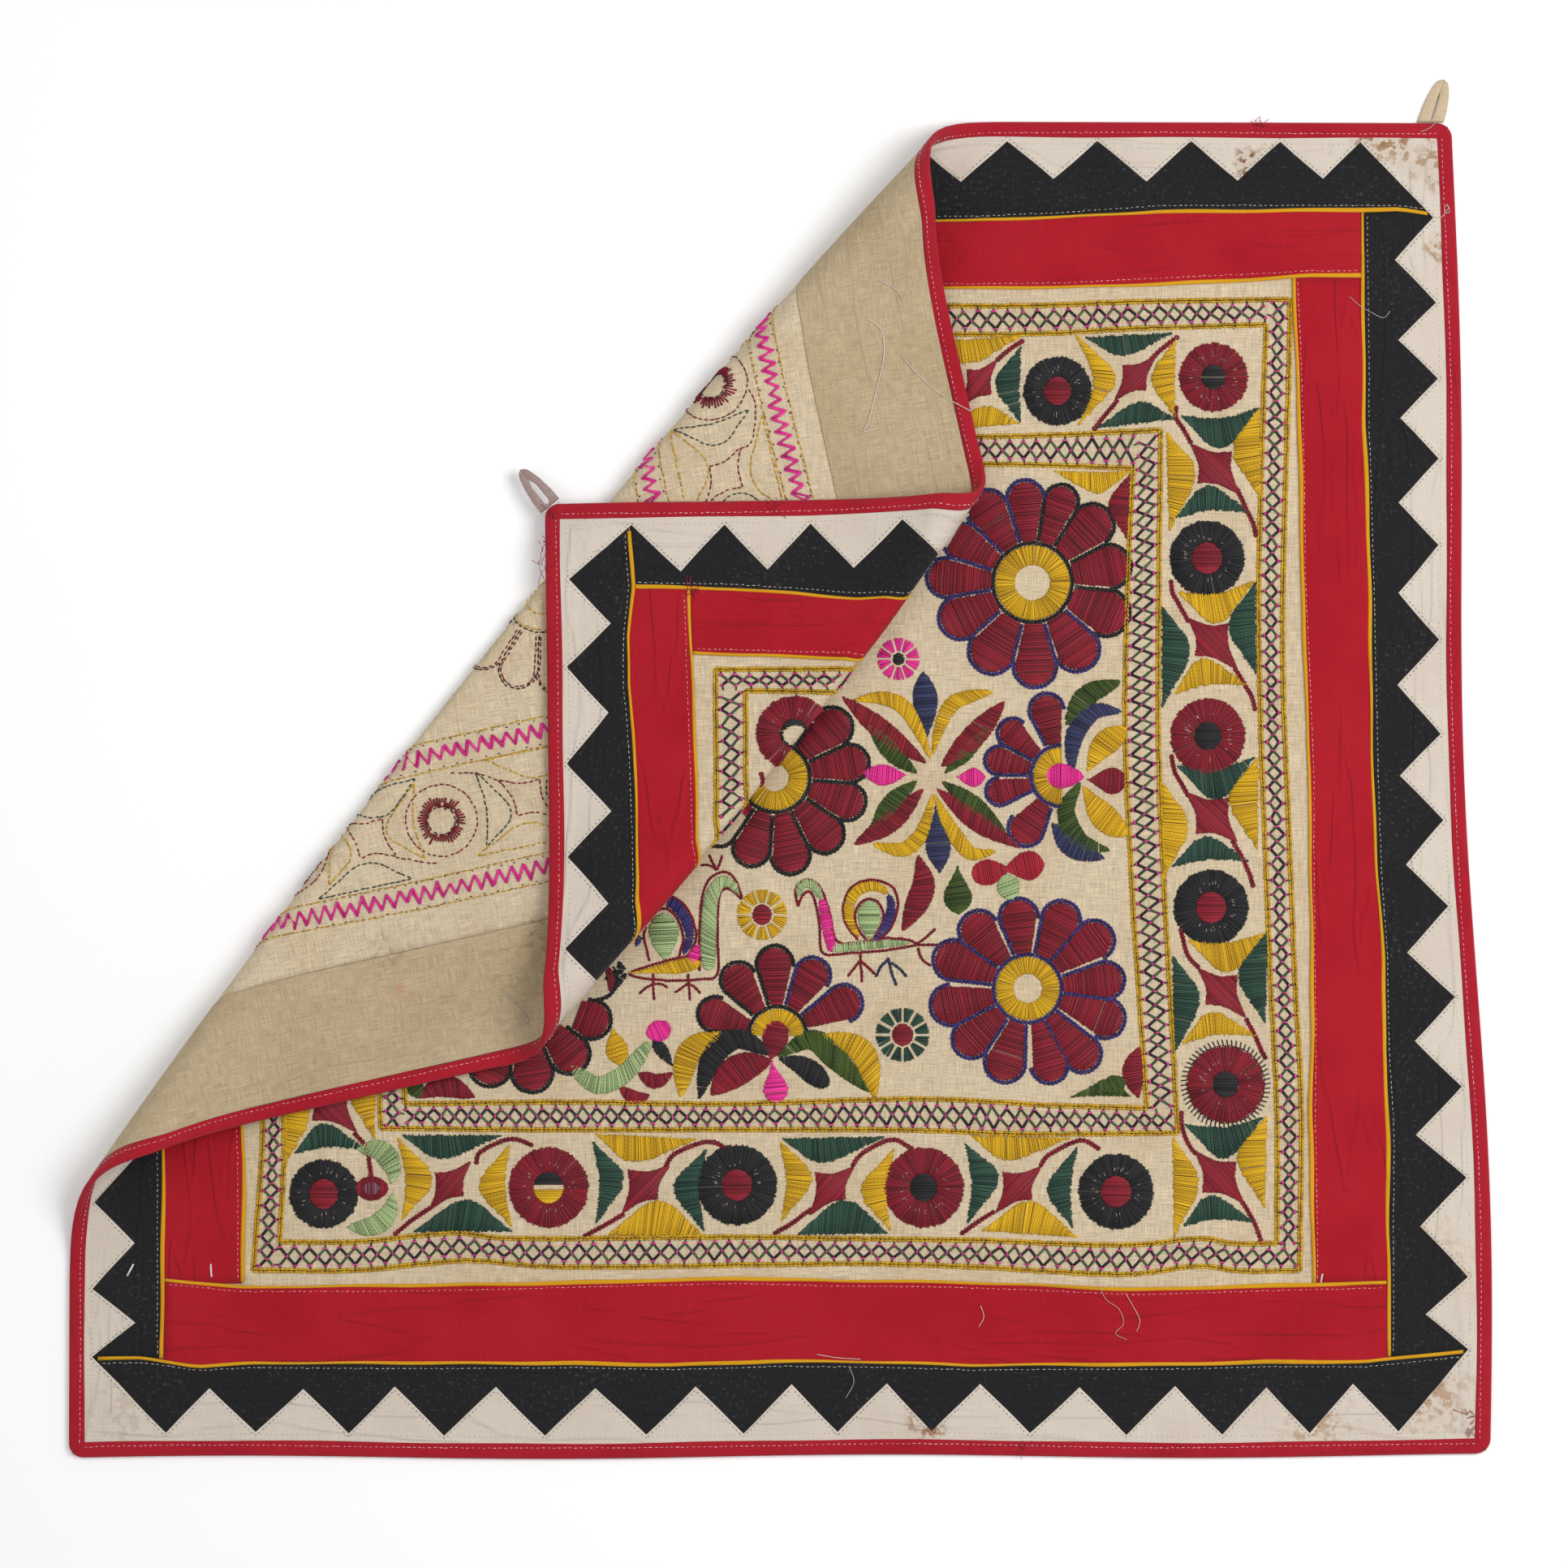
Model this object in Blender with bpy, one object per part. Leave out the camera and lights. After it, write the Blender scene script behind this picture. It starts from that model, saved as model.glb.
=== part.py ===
"""Square embroidered wall hanging, lying on a surface with one corner folded over and back.

The cloth is drawn flat, in millimetres, as a maker would cut it: a ground panel, backing
strips, red and black bands with yellow piping between them, a white dogtooth edge, a crimson
binding folded over the raw edge and two hanging loops.  Each piece is cut along the fold
lines, given its thickness, and then bent through the two folds of the top left corner.
"""

import functools
import math

import bmesh
import bpy
import numpy as np

MM = 0.001

# The flat cloth: its corners as it lies (mm), x to the right and y away from the viewer
CORNERS = {
    "bottom_left": (-437.2, -424.5),
    "bottom_right": (438.2, -423.0),
    "top_left": (-434.2, 400.0),
    "top_right": (414.2, 397.5),
}
CLOTH_WIDTH = 862.0
CLOTH_HEIGHT = 822.0
RIGHT_EDGE_WAVE = 4.6
RIGHT_EDGE_WAVES = 1.37
BOTTOM_EDGE_WAVE = 1.2
BOTTOM_EDGE_WAVES = 2.2
CORNER_RADIUS = 9.0
CORNER_ARC_POINTS = 4

# The origin of the part under the middle of its box
ORIGIN_X = 1.0
ORIGIN_Y = -0.55

# Heights over the back of the cloth
CLOTH_TOP = 1.2
BAND_BOTTOM = 1.5
BAND_TOP = 2.7
PIPING_TOP = 3.1
BINDING_SLOT_TOP = 3.0
BINDING_TOP = 3.8
GAP = 0.3
MITRE_GAP = 0.225

# Widths measured inwards from the edge of the cloth
BINDING_WALL = 1.2
BINDING_WIDTH = 9.5
TOOTH_TIP = 14.5
TOOTH_VALLEY = 39.5
TOOTH_SEAM = 0.22
PIPING_WIDTH = 2.85
GROUND_UNDER_RED = 6.0

# One row for each side, in order round the cloth against the clock.  Depths are from the
# edge; places of the first and last tooth are along the side; "runs_on" says whether the
# strip runs through the corner at its start and its end, or butts against its neighbour.
SIDES = {
    "bottom": {"black": 58.5, "red": 105.0, "teeth": (59.0, 805.0, 14), "runs_on": (True, True)},
    "right": {"black": 54.0, "red": 93.0, "teeth": (112.5, 713.0, 12), "runs_on": (False, False)},
    "top": {"black": 56.0, "red": 98.0, "teeth": (56.5, 749.0, 13), "runs_on": (True, False)},
    "left": {"black": 54.5, "red": 104.5, "teeth": (46.5, 715.0, 13), "runs_on": (True, False)},
}
SIDE_ORDER = ("bottom", "right", "top", "left")

# The first fold turns the corner over the front, the second turns it back again.
# Each mirror line is given by a point and its direction; the radius of the bend grows
# towards both ends of the line, and "rest" is the height that the cloth settles to.
FOLD_OVER = {
    "point": (-180.5, 76.25),
    "angle": 51.3,
    "radius": 5.5,
    "middle": -15.0,
    "growth_up": 1.12e-4,
    "growth_down": 1.05e-4,
    "reach": 415.0,
    "lift": 0.10,
    "lift_by_radius": 0.026,
    "rest": 9.8,
}
FOLD_BACK = {
    "point": (23.5, 30.9),
    "angle": 51.8,
    "radius": 4.0,
    "middle": 0.0,
    "growth_up": 3.2e-4,
    "growth_down": 1.9e-4,
    "reach": 240.0,
    "lift": 0.10,
    "lift_by_radius": 0.03,
    "rest": 2.2,
}
DROOP = 9.0
DROOP_REACH = 28.0

# Cuts that let the flat pieces bend: columns across the first fold line, from well inside
# it, in each column the shares of every bend, and even steps for the corner past them
BEND_REACH = 48.0
CROSS_REACH = 480.0
CROSS_STEP = 40.0
TURN_CUTS = 7
SLOPE_CUTS = 2
CROWN_END = 440.0
CROWN_STEP = 16.0
EDGE_STEP = 60.0
WELD = 0.01
SNAP = 0.02

# Hanging loops: where the root sits on the flat cloth, which way the tip points,
# length, half width, half width of the slit between the two legs, and thickness
LOOPS = {
    "loop_top_left": {
        "root": (-430.9, 398.7),
        "root_across": (0.785, 0.62),
        "tip_way": (-0.62, 0.785),
        "length": 29.0,
        "half_width": 6.3,
        "half_slit": 2.3,
        "thickness": 2.4,
    },
    "loop_top_right": {
        "root": (398.6, 397.9),
        "root_across": (1.0, -0.003),
        "tip_way": (0.36, 0.933),
        "length": 28.0,
        "half_width": 6.8,
        "half_slit": 0.5,
        "thickness": 2.4,
    },
}
LOOP_ROOT_LENGTH = 3.0
# Outline of a loop from its root to its tip: share of the length, share of the half width
LOOP_OUTLINE = ((0.0, 1.0), (0.3, 1.04), (0.6, 0.9), (0.85, 0.5), (1.0, 0.0))
LOOP_SLIT_END = 0.72
LOOP_SLIT_TAPER = 0.25

# Colour (linear RGB) and roughness of each cloth
CLOTHS = {
    "ground": ((0.60, 0.48, 0.29), 0.95),
    "backing": ((0.54, 0.43, 0.25), 0.95),
    "red": ((0.50, 0.03, 0.06), 0.9),
    "black": ((0.018, 0.02, 0.024), 0.9),
    "white": ((0.78, 0.72, 0.66), 0.9),
    "yellow": ((0.72, 0.38, 0.02), 0.85),
    "binding": ((0.48, 0.02, 0.05), 0.9),
    "tape": ((0.42, 0.36, 0.30), 0.9),
}


def clear_objects():
    """Empties the scene that Blender opens with."""
    for item in list(bpy.data.objects):
        bpy.data.objects.remove(item, do_unlink=True)


def cloth_material(cloth):
    """Gives the plain material of one cloth, made on its first use."""
    material = bpy.data.materials.get(cloth)
    if material is None:
        colour, roughness = CLOTHS[cloth]
        material = bpy.data.materials.new(cloth)
        material.use_nodes = True
        shader = material.node_tree.nodes["Principled BSDF"]
        shader.inputs["Base Color"].default_value = (*colour, 1.0)
        shader.inputs["Roughness"].default_value = roughness
        shader.inputs["Metallic"].default_value = 0.0
    return material


def lie_flat(points):
    """Moves points of the true rectangle to where the uneven cloth has them.

    The four corners are spread bilinearly, and the right and bottom edges wave by a sine
    that fades towards the opposite edge.
    """
    points = np.asarray(points, dtype=float)
    across = (points[:, :1] + CLOTH_WIDTH / 2) / CLOTH_WIDTH
    up = (points[:, 1:] + CLOTH_HEIGHT / 2) / CLOTH_HEIGHT
    corner = {name: np.array(place) for name, place in CORNERS.items()}
    bottom = corner["bottom_left"] * (1 - across) + corner["bottom_right"] * across
    top = corner["top_left"] * (1 - across) + corner["top_right"] * across
    flat = bottom * (1 - up) + top * up
    side_wave = np.sin(2 * math.pi * RIGHT_EDGE_WAVES * up) * (1 - up**3)
    foot_wave = np.sin(2 * math.pi * BOTTOM_EDGE_WAVES * across) * (1 - up)
    flat[:, :1] += RIGHT_EDGE_WAVE * side_wave * across**2
    flat[:, 1:] += BOTTOM_EDGE_WAVE * foot_wave
    return flat


def fold_axes(fold):
    """Gives a mirror line's point, its direction, and the way towards the top left."""
    turn = math.radians(fold["angle"])
    along = np.array([math.cos(turn), math.sin(turn)])
    outward = np.array([-math.sin(turn), math.cos(turn)])
    return np.array(fold["point"]), along, outward


def bend_sizes(fold, place):
    """Works out the bend at places along a mirror line.

    The cloth turns by half a turn and a little more on its radius, and then by that
    little back again on a wide arc that ends level at the rest height.  Gives the
    radius, the extra turn, the wide arc's radius and the distance from the start of
    the bend to the mirror line.
    """
    from_middle = np.clip(place - fold["middle"], -fold["reach"], fold["reach"])
    growth = np.where(from_middle > 0, fold["growth_up"], fold["growth_down"])
    radius = fold["radius"] + growth * from_middle**2
    extra = fold["lift"] + fold["lift_by_radius"] * radius
    wide = (radius * (1 + np.cos(extra)) - fold["rest"]) / (1 - np.cos(extra))
    path = (math.pi + extra) * radius + wide * extra
    reach = -(radius + wide) * np.sin(extra)
    return radius, extra, wide, (path + reach) / 2


def bend_profile(path, radius, extra, wide):
    """Follows the bend for the given length of cloth: distance out, height and turn."""
    first = (math.pi + extra) * radius
    second = wide * extra
    turn_out = np.clip(path, 0, first) / radius
    turn_back = np.clip(path - first, 0, second) / wide
    turn = turn_out - turn_back
    after = np.maximum(path - first - second, 0)
    out = np.minimum(path, 0) + radius * np.sin(turn_out) - after
    out += wide * (np.sin(math.pi + extra) - np.sin(math.pi + extra - turn_back))
    high = radius * (1 - np.cos(turn_out))
    high += wide * (np.cos(math.pi + extra - turn_back) - np.cos(math.pi + extra))
    return out, high, turn


def upper_surface(place, out, fold):
    """Gives the height of the folded-over cloth's back where the corner lies on it.

    Over the bend it is the top of the circle, then the wide arc, then the rest height;
    past the bend's crown it is the free corner, which droops.
    """
    radius, extra, wide, half = bend_sizes(fold, place)
    out = out + half
    crown_end = -radius * np.sin(extra)
    slope_end = crown_end - wide * np.sin(extra)
    circle = radius + np.sqrt(np.maximum(radius**2 - out**2, 0))
    slope = fold["rest"] + wide - np.sqrt(np.maximum(wide**2 - (out - slope_end) ** 2, 0))
    free = 2 * radius - DROOP * out**2 / (out**2 + DROOP_REACH**2)
    level = np.full_like(out, fold["rest"])
    return np.select([out > 0, out > crown_end, out > slope_end], [free, circle, slope], level)


def fold_cloth(flat, height):
    """Bends points of the flat cloth, at a height over its back, through both folds."""
    point, along, outward = fold_axes(FOLD_OVER)
    place = (flat - point) @ along
    beyond = (flat - point) @ outward
    radius, extra, wide, half = bend_sizes(FOLD_OVER, place)
    out, high, turn = bend_profile(beyond + half, radius, extra, wide)
    plan = point + np.outer(place, along) + np.outer(out - half - height * np.sin(turn), outward)
    level = high + height * np.cos(turn)

    mirrored = point + np.outer(place, along) - np.outer(beyond, outward)
    back_point, back_along, back_outward = fold_axes(FOLD_BACK)
    back_place = (mirrored - back_point) @ back_along
    back_beyond = -(mirrored - back_point) @ back_outward
    radius, extra, wide, half = bend_sizes(FOLD_BACK, back_place)
    out, high, turn = bend_profile(back_beyond + half, radius, extra, wide)
    inward = half - out
    back_plan = back_point + np.outer(back_place, back_along)
    under = back_plan + np.outer(inward, back_outward)
    carried = upper_surface((under - point) @ along, (under - point) @ outward, FOLD_OVER)
    back_plan += np.outer(inward - height * np.sin(turn), back_outward)
    back_level = carried + high - height * np.cos(turn)

    turned = (back_beyond + half > 0) & (beyond > 0)
    plan = np.where(turned[:, None], back_plan, plan)
    level = np.where(turned, back_level, level)
    return np.column_stack([plan[:, 0] - ORIGIN_X, plan[:, 1] - ORIGIN_Y, level]) * MM


def on_side(side, points):
    """Turns (along, depth) points of one side into places on the rectangle."""
    half_width, half_height = CLOTH_WIDTH / 2, CLOTH_HEIGHT / 2
    along, depth = np.asarray(points, dtype=float).T
    if side == "bottom":
        return np.column_stack([along - half_width, depth - half_height])
    if side == "right":
        return np.column_stack([half_width - depth, along - half_height])
    if side == "top":
        return np.column_stack([half_width - along, half_height - depth])
    return np.column_stack([depth - half_width, half_height - along])


def side_length(side):
    """Gives the length of one side of the rectangle."""
    return CLOTH_WIDTH if side in ("bottom", "top") else CLOTH_HEIGHT


def neighbours(side):
    """Gives the sides that meet this one at its start and at its end."""
    at = SIDE_ORDER.index(side)
    return SIDE_ORDER[at - 1], SIDE_ORDER[(at + 1) % 4]


def flip_along(side, points):
    """Measures points from the other end of the side."""
    return [(side_length(side) - along, depth) for along, depth in points]


def filled_points(points, closed=True):
    """Adds points on straight stretches of the rectangle, to follow the uneven edge.

    They lie where the longer way of a stretch passes a whole number of steps, so that
    pieces side by side are bent at the same places.
    """
    result = []
    ends = points[1:] + points[:1] if closed else points[1:]
    for start, end in zip(np.array(points, dtype=float), np.array(ends, dtype=float)):
        way = end - start
        longer = int(abs(way[1]) > abs(way[0]))
        low, high = sorted((start[longer], end[longer]))
        steps = EDGE_STEP * np.arange(math.floor(low / EDGE_STEP), math.ceil(high / EDGE_STEP) + 1)
        steps = steps[(low + SNAP < steps) & (steps < high - SNAP)]
        shares = np.sort((steps - start[longer]) / way[longer]) if len(steps) else []
        result += [start] + [start + way * share for share in shares]
    return result if closed else result + [np.array(points[-1], dtype=float)]


def cut_sheet(outlines):
    """Makes a flat sheet of one face for each outline, cut wherever the cloth will bend.

    An outline is a list of flat points with a tag, which stays with its faces.  Cuts
    across the first fold line divide the sheet into columns.  In each column the lines
    along which the cloth bends run from side to side, and each cell between two of them
    is cut again along its diagonal, so that every facet of the bent cloth is flat.
    """
    sheet = bmesh.new()
    for points, tag in outlines:
        corners = [sheet.verts.new((x, y, 0.0)) for x, y in points]
        sheet.faces.new(corners).material_index = tag
    bmesh.ops.remove_doubles(sheet, verts=sheet.verts[:], dist=WELD)
    point, along, outward = flat_line(FOLD_OVER)
    cut_faces(sheet, sheet.faces[:], point - outward * BEND_REACH, outward)
    steps, beyond = bend_lattice()
    for step in steps:
        cut_faces(sheet, faces_between(sheet, -np.inf, np.inf), point + along * step, along)
    for near, far, starts, ends in zip(steps, steps[1:], beyond, beyond[1:]):
        faces = faces_between(sheet, near, far)
        if not faces:
            continue
        places = np.array([corner.co[:2] for face in faces for corner in face.verts]) - point
        low, high = (places @ outward).min(), (places @ outward).max()
        lines = list(zip(starts, ends)) + list(zip(starts, ends[1:]))
        for start, end in lines:
            if max(start, end) > low and min(start, end) < high:
                place = point + along * near + outward * start
                way = along * (far - near) + outward * (end - start)
                cut_faces(sheet, faces_between(sheet, near, far), place, (-way[1], way[0]))
    bmesh.ops.triangulate(sheet, faces=sheet.faces[:])
    return sheet


def faces_between(sheet, near, far):
    """Gives the faces past the start of the first bend that lie between two crossing cuts."""
    point, along, outward = flat_line(FOLD_OVER)
    middles = np.array([face.calc_center_median()[:2] for face in sheet.faces]) - point
    across, beyond = middles @ along, middles @ outward
    chosen = (near < across) & (across < far) & (beyond > -BEND_REACH)
    return [face for face, use in zip(sheet.faces, chosen) if use]


def cut_faces(sheet, faces, place, normal):
    """Cuts the given faces along the flat line through a place, across its normal."""
    if faces:
        edges = {edge for face in faces for edge in face.edges}
        corners = {corner for face in faces for corner in face.verts}
        geometry = faces + list(edges) + list(corners)
        plane = {"plane_co": (*place, 0.0), "plane_no": (*normal, 0.0)}
        bmesh.ops.bisect_plane(sheet, geom=geometry, dist=SNAP, **plane)


def flat_line(fold):
    """Gives a mirror line as it lies on the flat cloth: point, direction, way past the fold."""
    point, along, outward = fold_axes(fold)
    if fold is FOLD_OVER:
        return point, along, outward
    first_point, _first_along, first_outward = fold_axes(FOLD_OVER)
    flat_point = point - 2 * first_outward * ((point - first_point) @ first_outward)
    flat_along = along - 2 * first_outward * (along @ first_outward)
    return flat_point, flat_along, -(outward - 2 * first_outward * (outward @ first_outward))


@functools.cache
def bend_lattice():
    """Gives the crossing cuts' places and, for each, where every bend line passes it.

    Each bend line keeps the same share of its bend: some shares of the half turn, then
    some of the turn back.  The corner that lies over the first bend has evenly spaced
    lines.  All are given as distances past the first mirror line.
    """
    first_point, first_along, first_outward = flat_line(FOLD_OVER)
    steps = np.arange(-CROSS_REACH, CROSS_REACH + CROSS_STEP / 2, CROSS_STEP)
    shares = [(i / TURN_CUTS, 0.0) for i in range(TURN_CUTS + 1)]
    shares += [(1.0, i / SLOPE_CUTS) for i in range(1, SLOPE_CUTS + 1)]
    lines = [np.full(len(steps), -BEND_REACH)]
    for fold in (FOLD_OVER, FOLD_BACK):
        point, along, outward = flat_line(fold)
        for share_out, share_back in shares:
            place = np.zeros(len(steps))
            for _round in range(4):
                distance = bend_line(fold, place, share_out, share_back)
                start = point + np.outer(distance, outward) - first_point
                place = (steps - start @ first_along) / (along @ first_along)
            lines.append((start + np.outer(place, along)) @ first_outward)
    even = np.arange(lines[-1].max() + CROWN_STEP, CROWN_END, CROWN_STEP)
    lines += [np.full(len(steps), distance) for distance in (*even, CLOTH_WIDTH)]
    return steps, np.maximum.accumulate(np.array(lines), axis=0).T


def bend_line(fold, place, share_out, share_back):
    """Gives how far past the mirror line a share of the bend lies, at places along it."""
    radius, extra, wide, half = bend_sizes(fold, place)
    return radius * (math.pi + extra) * share_out + wide * extra * share_back - half


def fold_facets(flat, height):
    """Bends points as the facets between the cuts do.

    Each point past the first cut is a mean of the three corners of its flat facet,
    weighted by how near it is to each, and only those corners follow the round bend.
    """
    point, along, outward = flat_line(FOLD_OVER)
    steps, beyond = bend_lattice()
    across, out = (flat - point) @ along, (flat - point) @ outward
    column = np.clip(((across - steps[0]) // CROSS_STEP).astype(int), 0, len(steps) - 2)
    share = (across - steps[column]) / CROSS_STEP
    near, far = beyond[column], beyond[column + 1]
    lines = near * (1 - share[:, None]) + far * share[:, None]
    cell = np.clip((lines <= out[:, None]).sum(axis=1) - 1, 0, beyond.shape[1] - 2)
    rows = np.arange(len(flat))
    near_low, near_high = near[rows, cell], near[rows, cell + 1]
    far_low, far_high = far[rows, cell], far[rows, cell + 1]
    diagonal = near_low * (1 - share) + far_high * share
    below = out < diagonal
    far_gap = np.where(far_high > far_low, far_high - far_low, 1.0)
    near_gap = np.where(near_high > near_low, near_high - near_low, 1.0)
    third = np.where(
        below,
        (out - near_low * (1 - share) - far_low * share) / far_gap,
        (out - diagonal) / near_gap,
    )
    corner_low = point + np.outer(steps[column], along) + np.outer(near_low, outward)
    corner_far = point + np.outer(steps[column + 1], along)
    corner_high = corner_far + np.outer(far_high, outward)
    corner_third = np.where(
        below[:, None],
        corner_far + np.outer(far_low, outward),
        corner_low + np.outer(near_high - near_low, outward),
    )
    weight_low = np.where(below, 1 - share, 1 - share - third)
    weight_high = np.where(below, third, share)
    weight_third = np.where(below, share - third, third)
    folded = fold_cloth(corner_low, height) * weight_low[:, None]
    folded += fold_cloth(corner_high, height) * weight_high[:, None]
    folded += fold_cloth(corner_third, height) * weight_third[:, None]
    return np.where((out < -BEND_REACH)[:, None], fold_cloth(flat, height), folded)


def solid_layers(spans):
    """Gives, for each tag, the layers of its solid between all the heights in use."""
    levels = sorted({height for solid in spans.values() for span in solid for height in span})
    layers = list(zip(levels, levels[1:]))
    return {
        tag: {(a, b) for a, b in layers if any(low <= a and b <= high for low, high in solid)}
        for tag, solid in spans.items()
    }


def wall_faces(start, end, low, high, corner):
    """Gives the two triangles of an upright wall, split from the lower left corner.

    Left is the end with the smaller x, so that the walls of two neighbouring pieces are
    split the same way and stay apart where the cloth bends.
    """
    start_low, end_low = corner(start, low), corner(end, low)
    start_high, end_high = corner(start, high), corner(end, high)
    if tuple(start.co) < tuple(end.co):
        return [[start_low, end_low, end_high], [start_low, end_high, start_high]]
    return [[start_low, end_low, start_high], [end_low, end_high, start_high]]


def thicken(name, cloth, sheet, spans):
    """Gives a cut sheet its thickness and folds it into a closed solid.

    spans holds, for each tag, the heights between which that part of the sheet is solid.
    """
    filled = solid_layers(spans)
    used = {}

    def corner(vert, height):
        return used.setdefault((vert.index, height), len(used))

    sheet.verts.index_update()
    faces = []
    for face in sheet.faces:
        for low, high in spans[face.material_index]:
            faces.append([corner(vert, high) for vert in face.verts])
            faces.append([corner(vert, low) for vert in reversed(face.verts)])
        for loop in face.loops:
            across = [other for other in loop.edge.link_faces if other is not face]
            shared = filled[across[0].material_index] if across else set()
            for low, high in sorted(filled[face.material_index] - shared):
                faces += wall_faces(loop.vert, loop.link_loop_next.vert, low, high, corner)
    sheet.verts.ensure_lookup_table()
    flat = np.array([sheet.verts[index].co[:2] for index, _height in used])
    heights = np.array([height for _index, height in used])
    mesh = bpy.data.meshes.new(name)
    mesh.from_pydata(fold_facets(flat, heights).tolist(), [], faces)
    mesh.materials.append(cloth_material(cloth))
    mesh.validate()
    solid = bpy.data.objects.new(name, mesh)
    bpy.context.scene.collection.objects.link(solid)
    sheet.free()


def add_plate(name, cloth, side, outline, low, high):
    """Makes one flat piece of cloth from its outline on a side of the hanging."""
    points = lie_flat(filled_points(on_side(side, outline).tolist()))
    thicken(name, cloth, cut_sheet([(points, 0)]), {0: ((low, high),)})


def strip_ends(side, outer, inner):
    """Gives where a strip starts and ends along its side, with half a gap at each butt."""
    first, last = neighbours(side)
    starts_on, ends_on = SIDES[side]["runs_on"]
    start = outer[first] if starts_on else inner[first]
    end = outer[last] if ends_on else inner[last]
    return start + GAP / 2, side_length(side) - end - GAP / 2


def add_strips(name, cloth, outer, inner, low, high, near=None, far=None):
    """Makes the four straight strips of one ring, from its outer to its inner depth.

    Their ends meet as the whole ring does, also when near or far, in the same form as
    outer and inner, say that the strips fill only a part of the ring's width.
    """
    near, far = near or outer, far or inner
    for side in SIDE_ORDER:
        start, end = strip_ends(side, outer, inner)
        first, last = near[side] + GAP / 2, far[side] - GAP / 2
        outline = [(start, first), (end, first), (end, last), (start, last)]
        add_plate(f"{name}_{side}", cloth, side, outline, low, high)


def ring(column, plus=0.0):
    """Gives one column of the table of sides, moved by a distance."""
    return {side: SIDES[side][column] + plus for side in SIDE_ORDER}


def even_ring(depth):
    """Gives the same depth for all four sides."""
    return {side: depth for side in SIDE_ORDER}


def add_ground_and_backing():
    """Makes the embroidered ground panel and the backing behind the borders."""
    inner = ring("red", -GROUND_UNDER_RED)
    add_strips("backing", "backing", even_ring(BINDING_WIDTH + GAP / 2), inner, 0.0, CLOTH_TOP)
    half_width, half_height = CLOTH_WIDTH / 2, CLOTH_HEIGHT / 2
    reach = {side: inner[side] + GAP / 2 for side in SIDE_ORDER}
    corners = [
        (reach["left"] - half_width, reach["bottom"] - half_height),
        (half_width - reach["right"], reach["bottom"] - half_height),
        (half_width - reach["right"], half_height - reach["top"]),
        (reach["left"] - half_width, half_height - reach["top"]),
    ]
    points = lie_flat(filled_points(corners))
    thicken("ground_panel", "ground", cut_sheet([(points, 0)]), {0: ((0.0, CLOTH_TOP),)})


def tooth_line(side):
    """Gives the seam between black and white along one side, as (along, depth) points.

    It starts and ends on the diagonals of the corners.  Where the black strip runs
    through a corner, a slanting end leads from the corner tip, on the strip's inner
    edge, to its first own tooth; where it butts, it starts at its neighbour's tip.
    """
    first, last, count = SIDES[side]["teeth"]
    tips = [(first + (last - first) * i / (count - 1), TOOTH_TIP) for i in range(count)]
    at_start, at_end = neighbours(side)
    starts_on, ends_on = SIDES[side]["runs_on"]
    own_start, own_end = tips[0], flip_along(side, [tips[-1]])[0]
    start = corner_seam(side, at_start, starts_on, own_start, True)
    end = flip_along(side, corner_seam(side, at_end, ends_on, own_end, False))[::-1]
    if not starts_on:
        tips.insert(0, start.pop())
    if not ends_on:
        tips.append(end.pop(0))
    line = start
    for tip, following in zip(tips, tips[1:]):
        line += [tip, ((tip[0] + following[0]) / 2, TOOTH_VALLEY)]
    return line + [tips[-1]] + end


def corner_seam(side, other, runs_on, own_tip, at_start):
    """Gives the seam's points from a corner's diagonal to the first tooth of the side."""
    if runs_on:
        tip = (TOOTH_TIP, SIDES[side]["black"])
        return [diagonal_point(tip, own_tip)]
    first, last, _count = SIDES[other]["teeth"]
    near = side_length(other) - last if at_start else first
    neighbour_tip = (TOOTH_TIP, near)
    shared_tip = (SIDES[other]["black"], TOOTH_TIP)
    return [diagonal_point(neighbour_tip, shared_tip), shared_tip]


def diagonal_point(start, end):
    """Gives where the line between two points crosses the diagonal of the corner."""
    share = (start[1] - start[0]) / ((start[1] - start[0]) - (end[1] - end[0]))
    place = start[0] + (end[0] - start[0]) * share
    return (place, place)


def rounded_edge(side, inset):
    """Gives the line at a small inset from the edge, from corner diagonal to diagonal."""
    radius = CORNER_RADIUS - inset
    turns = np.linspace(1.25 * math.pi, 1.5 * math.pi, CORNER_ARC_POINTS)
    corner = [
        (CORNER_RADIUS + radius * math.cos(turn), CORNER_RADIUS + radius * math.sin(turn))
        for turn in turns
    ]
    return corner + flip_along(side, corner)[::-1]


def mitred(line):
    """Moves both ends of a line along the side, off the diagonals of the corners."""
    first, last = line[0], line[-1]
    return [(first[0] + MITRE_GAP, first[1]), *line[1:-1], (last[0] - MITRE_GAP, last[1])]


def add_toothed_edge():
    """Makes the white dogtooth strips and the black bands that interlock with them."""
    for side in SIDE_ORDER:
        seam = tooth_line(side)
        edge = mitred(rounded_edge(side, BINDING_WALL + GAP))
        teeth = mitred([(along, depth - TOOTH_SEAM) for along, depth in seam])
        add_plate(f"dogtooth_{side}", "white", side, edge + teeth[::-1], BAND_BOTTOM, BAND_TOP)

        inner = SIDES[side]["black"] - PIPING_WIDTH - GAP
        start, end = black_ends(side, inner)
        teeth = [(along, depth + TOOTH_SEAM) for along, depth in seam[1:-1]]
        if not SIDES[side]["runs_on"][0]:
            teeth[0] = (start[0], teeth[0][1])
        if not SIDES[side]["runs_on"][1]:
            teeth[-1] = (side_length(side) - end[0], teeth[-1][1])
        outline = [start] + teeth + flip_along(side, [end])
        add_plate(f"black_band_{side}", "black", side, outline, BAND_BOTTOM, BAND_TOP)


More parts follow.
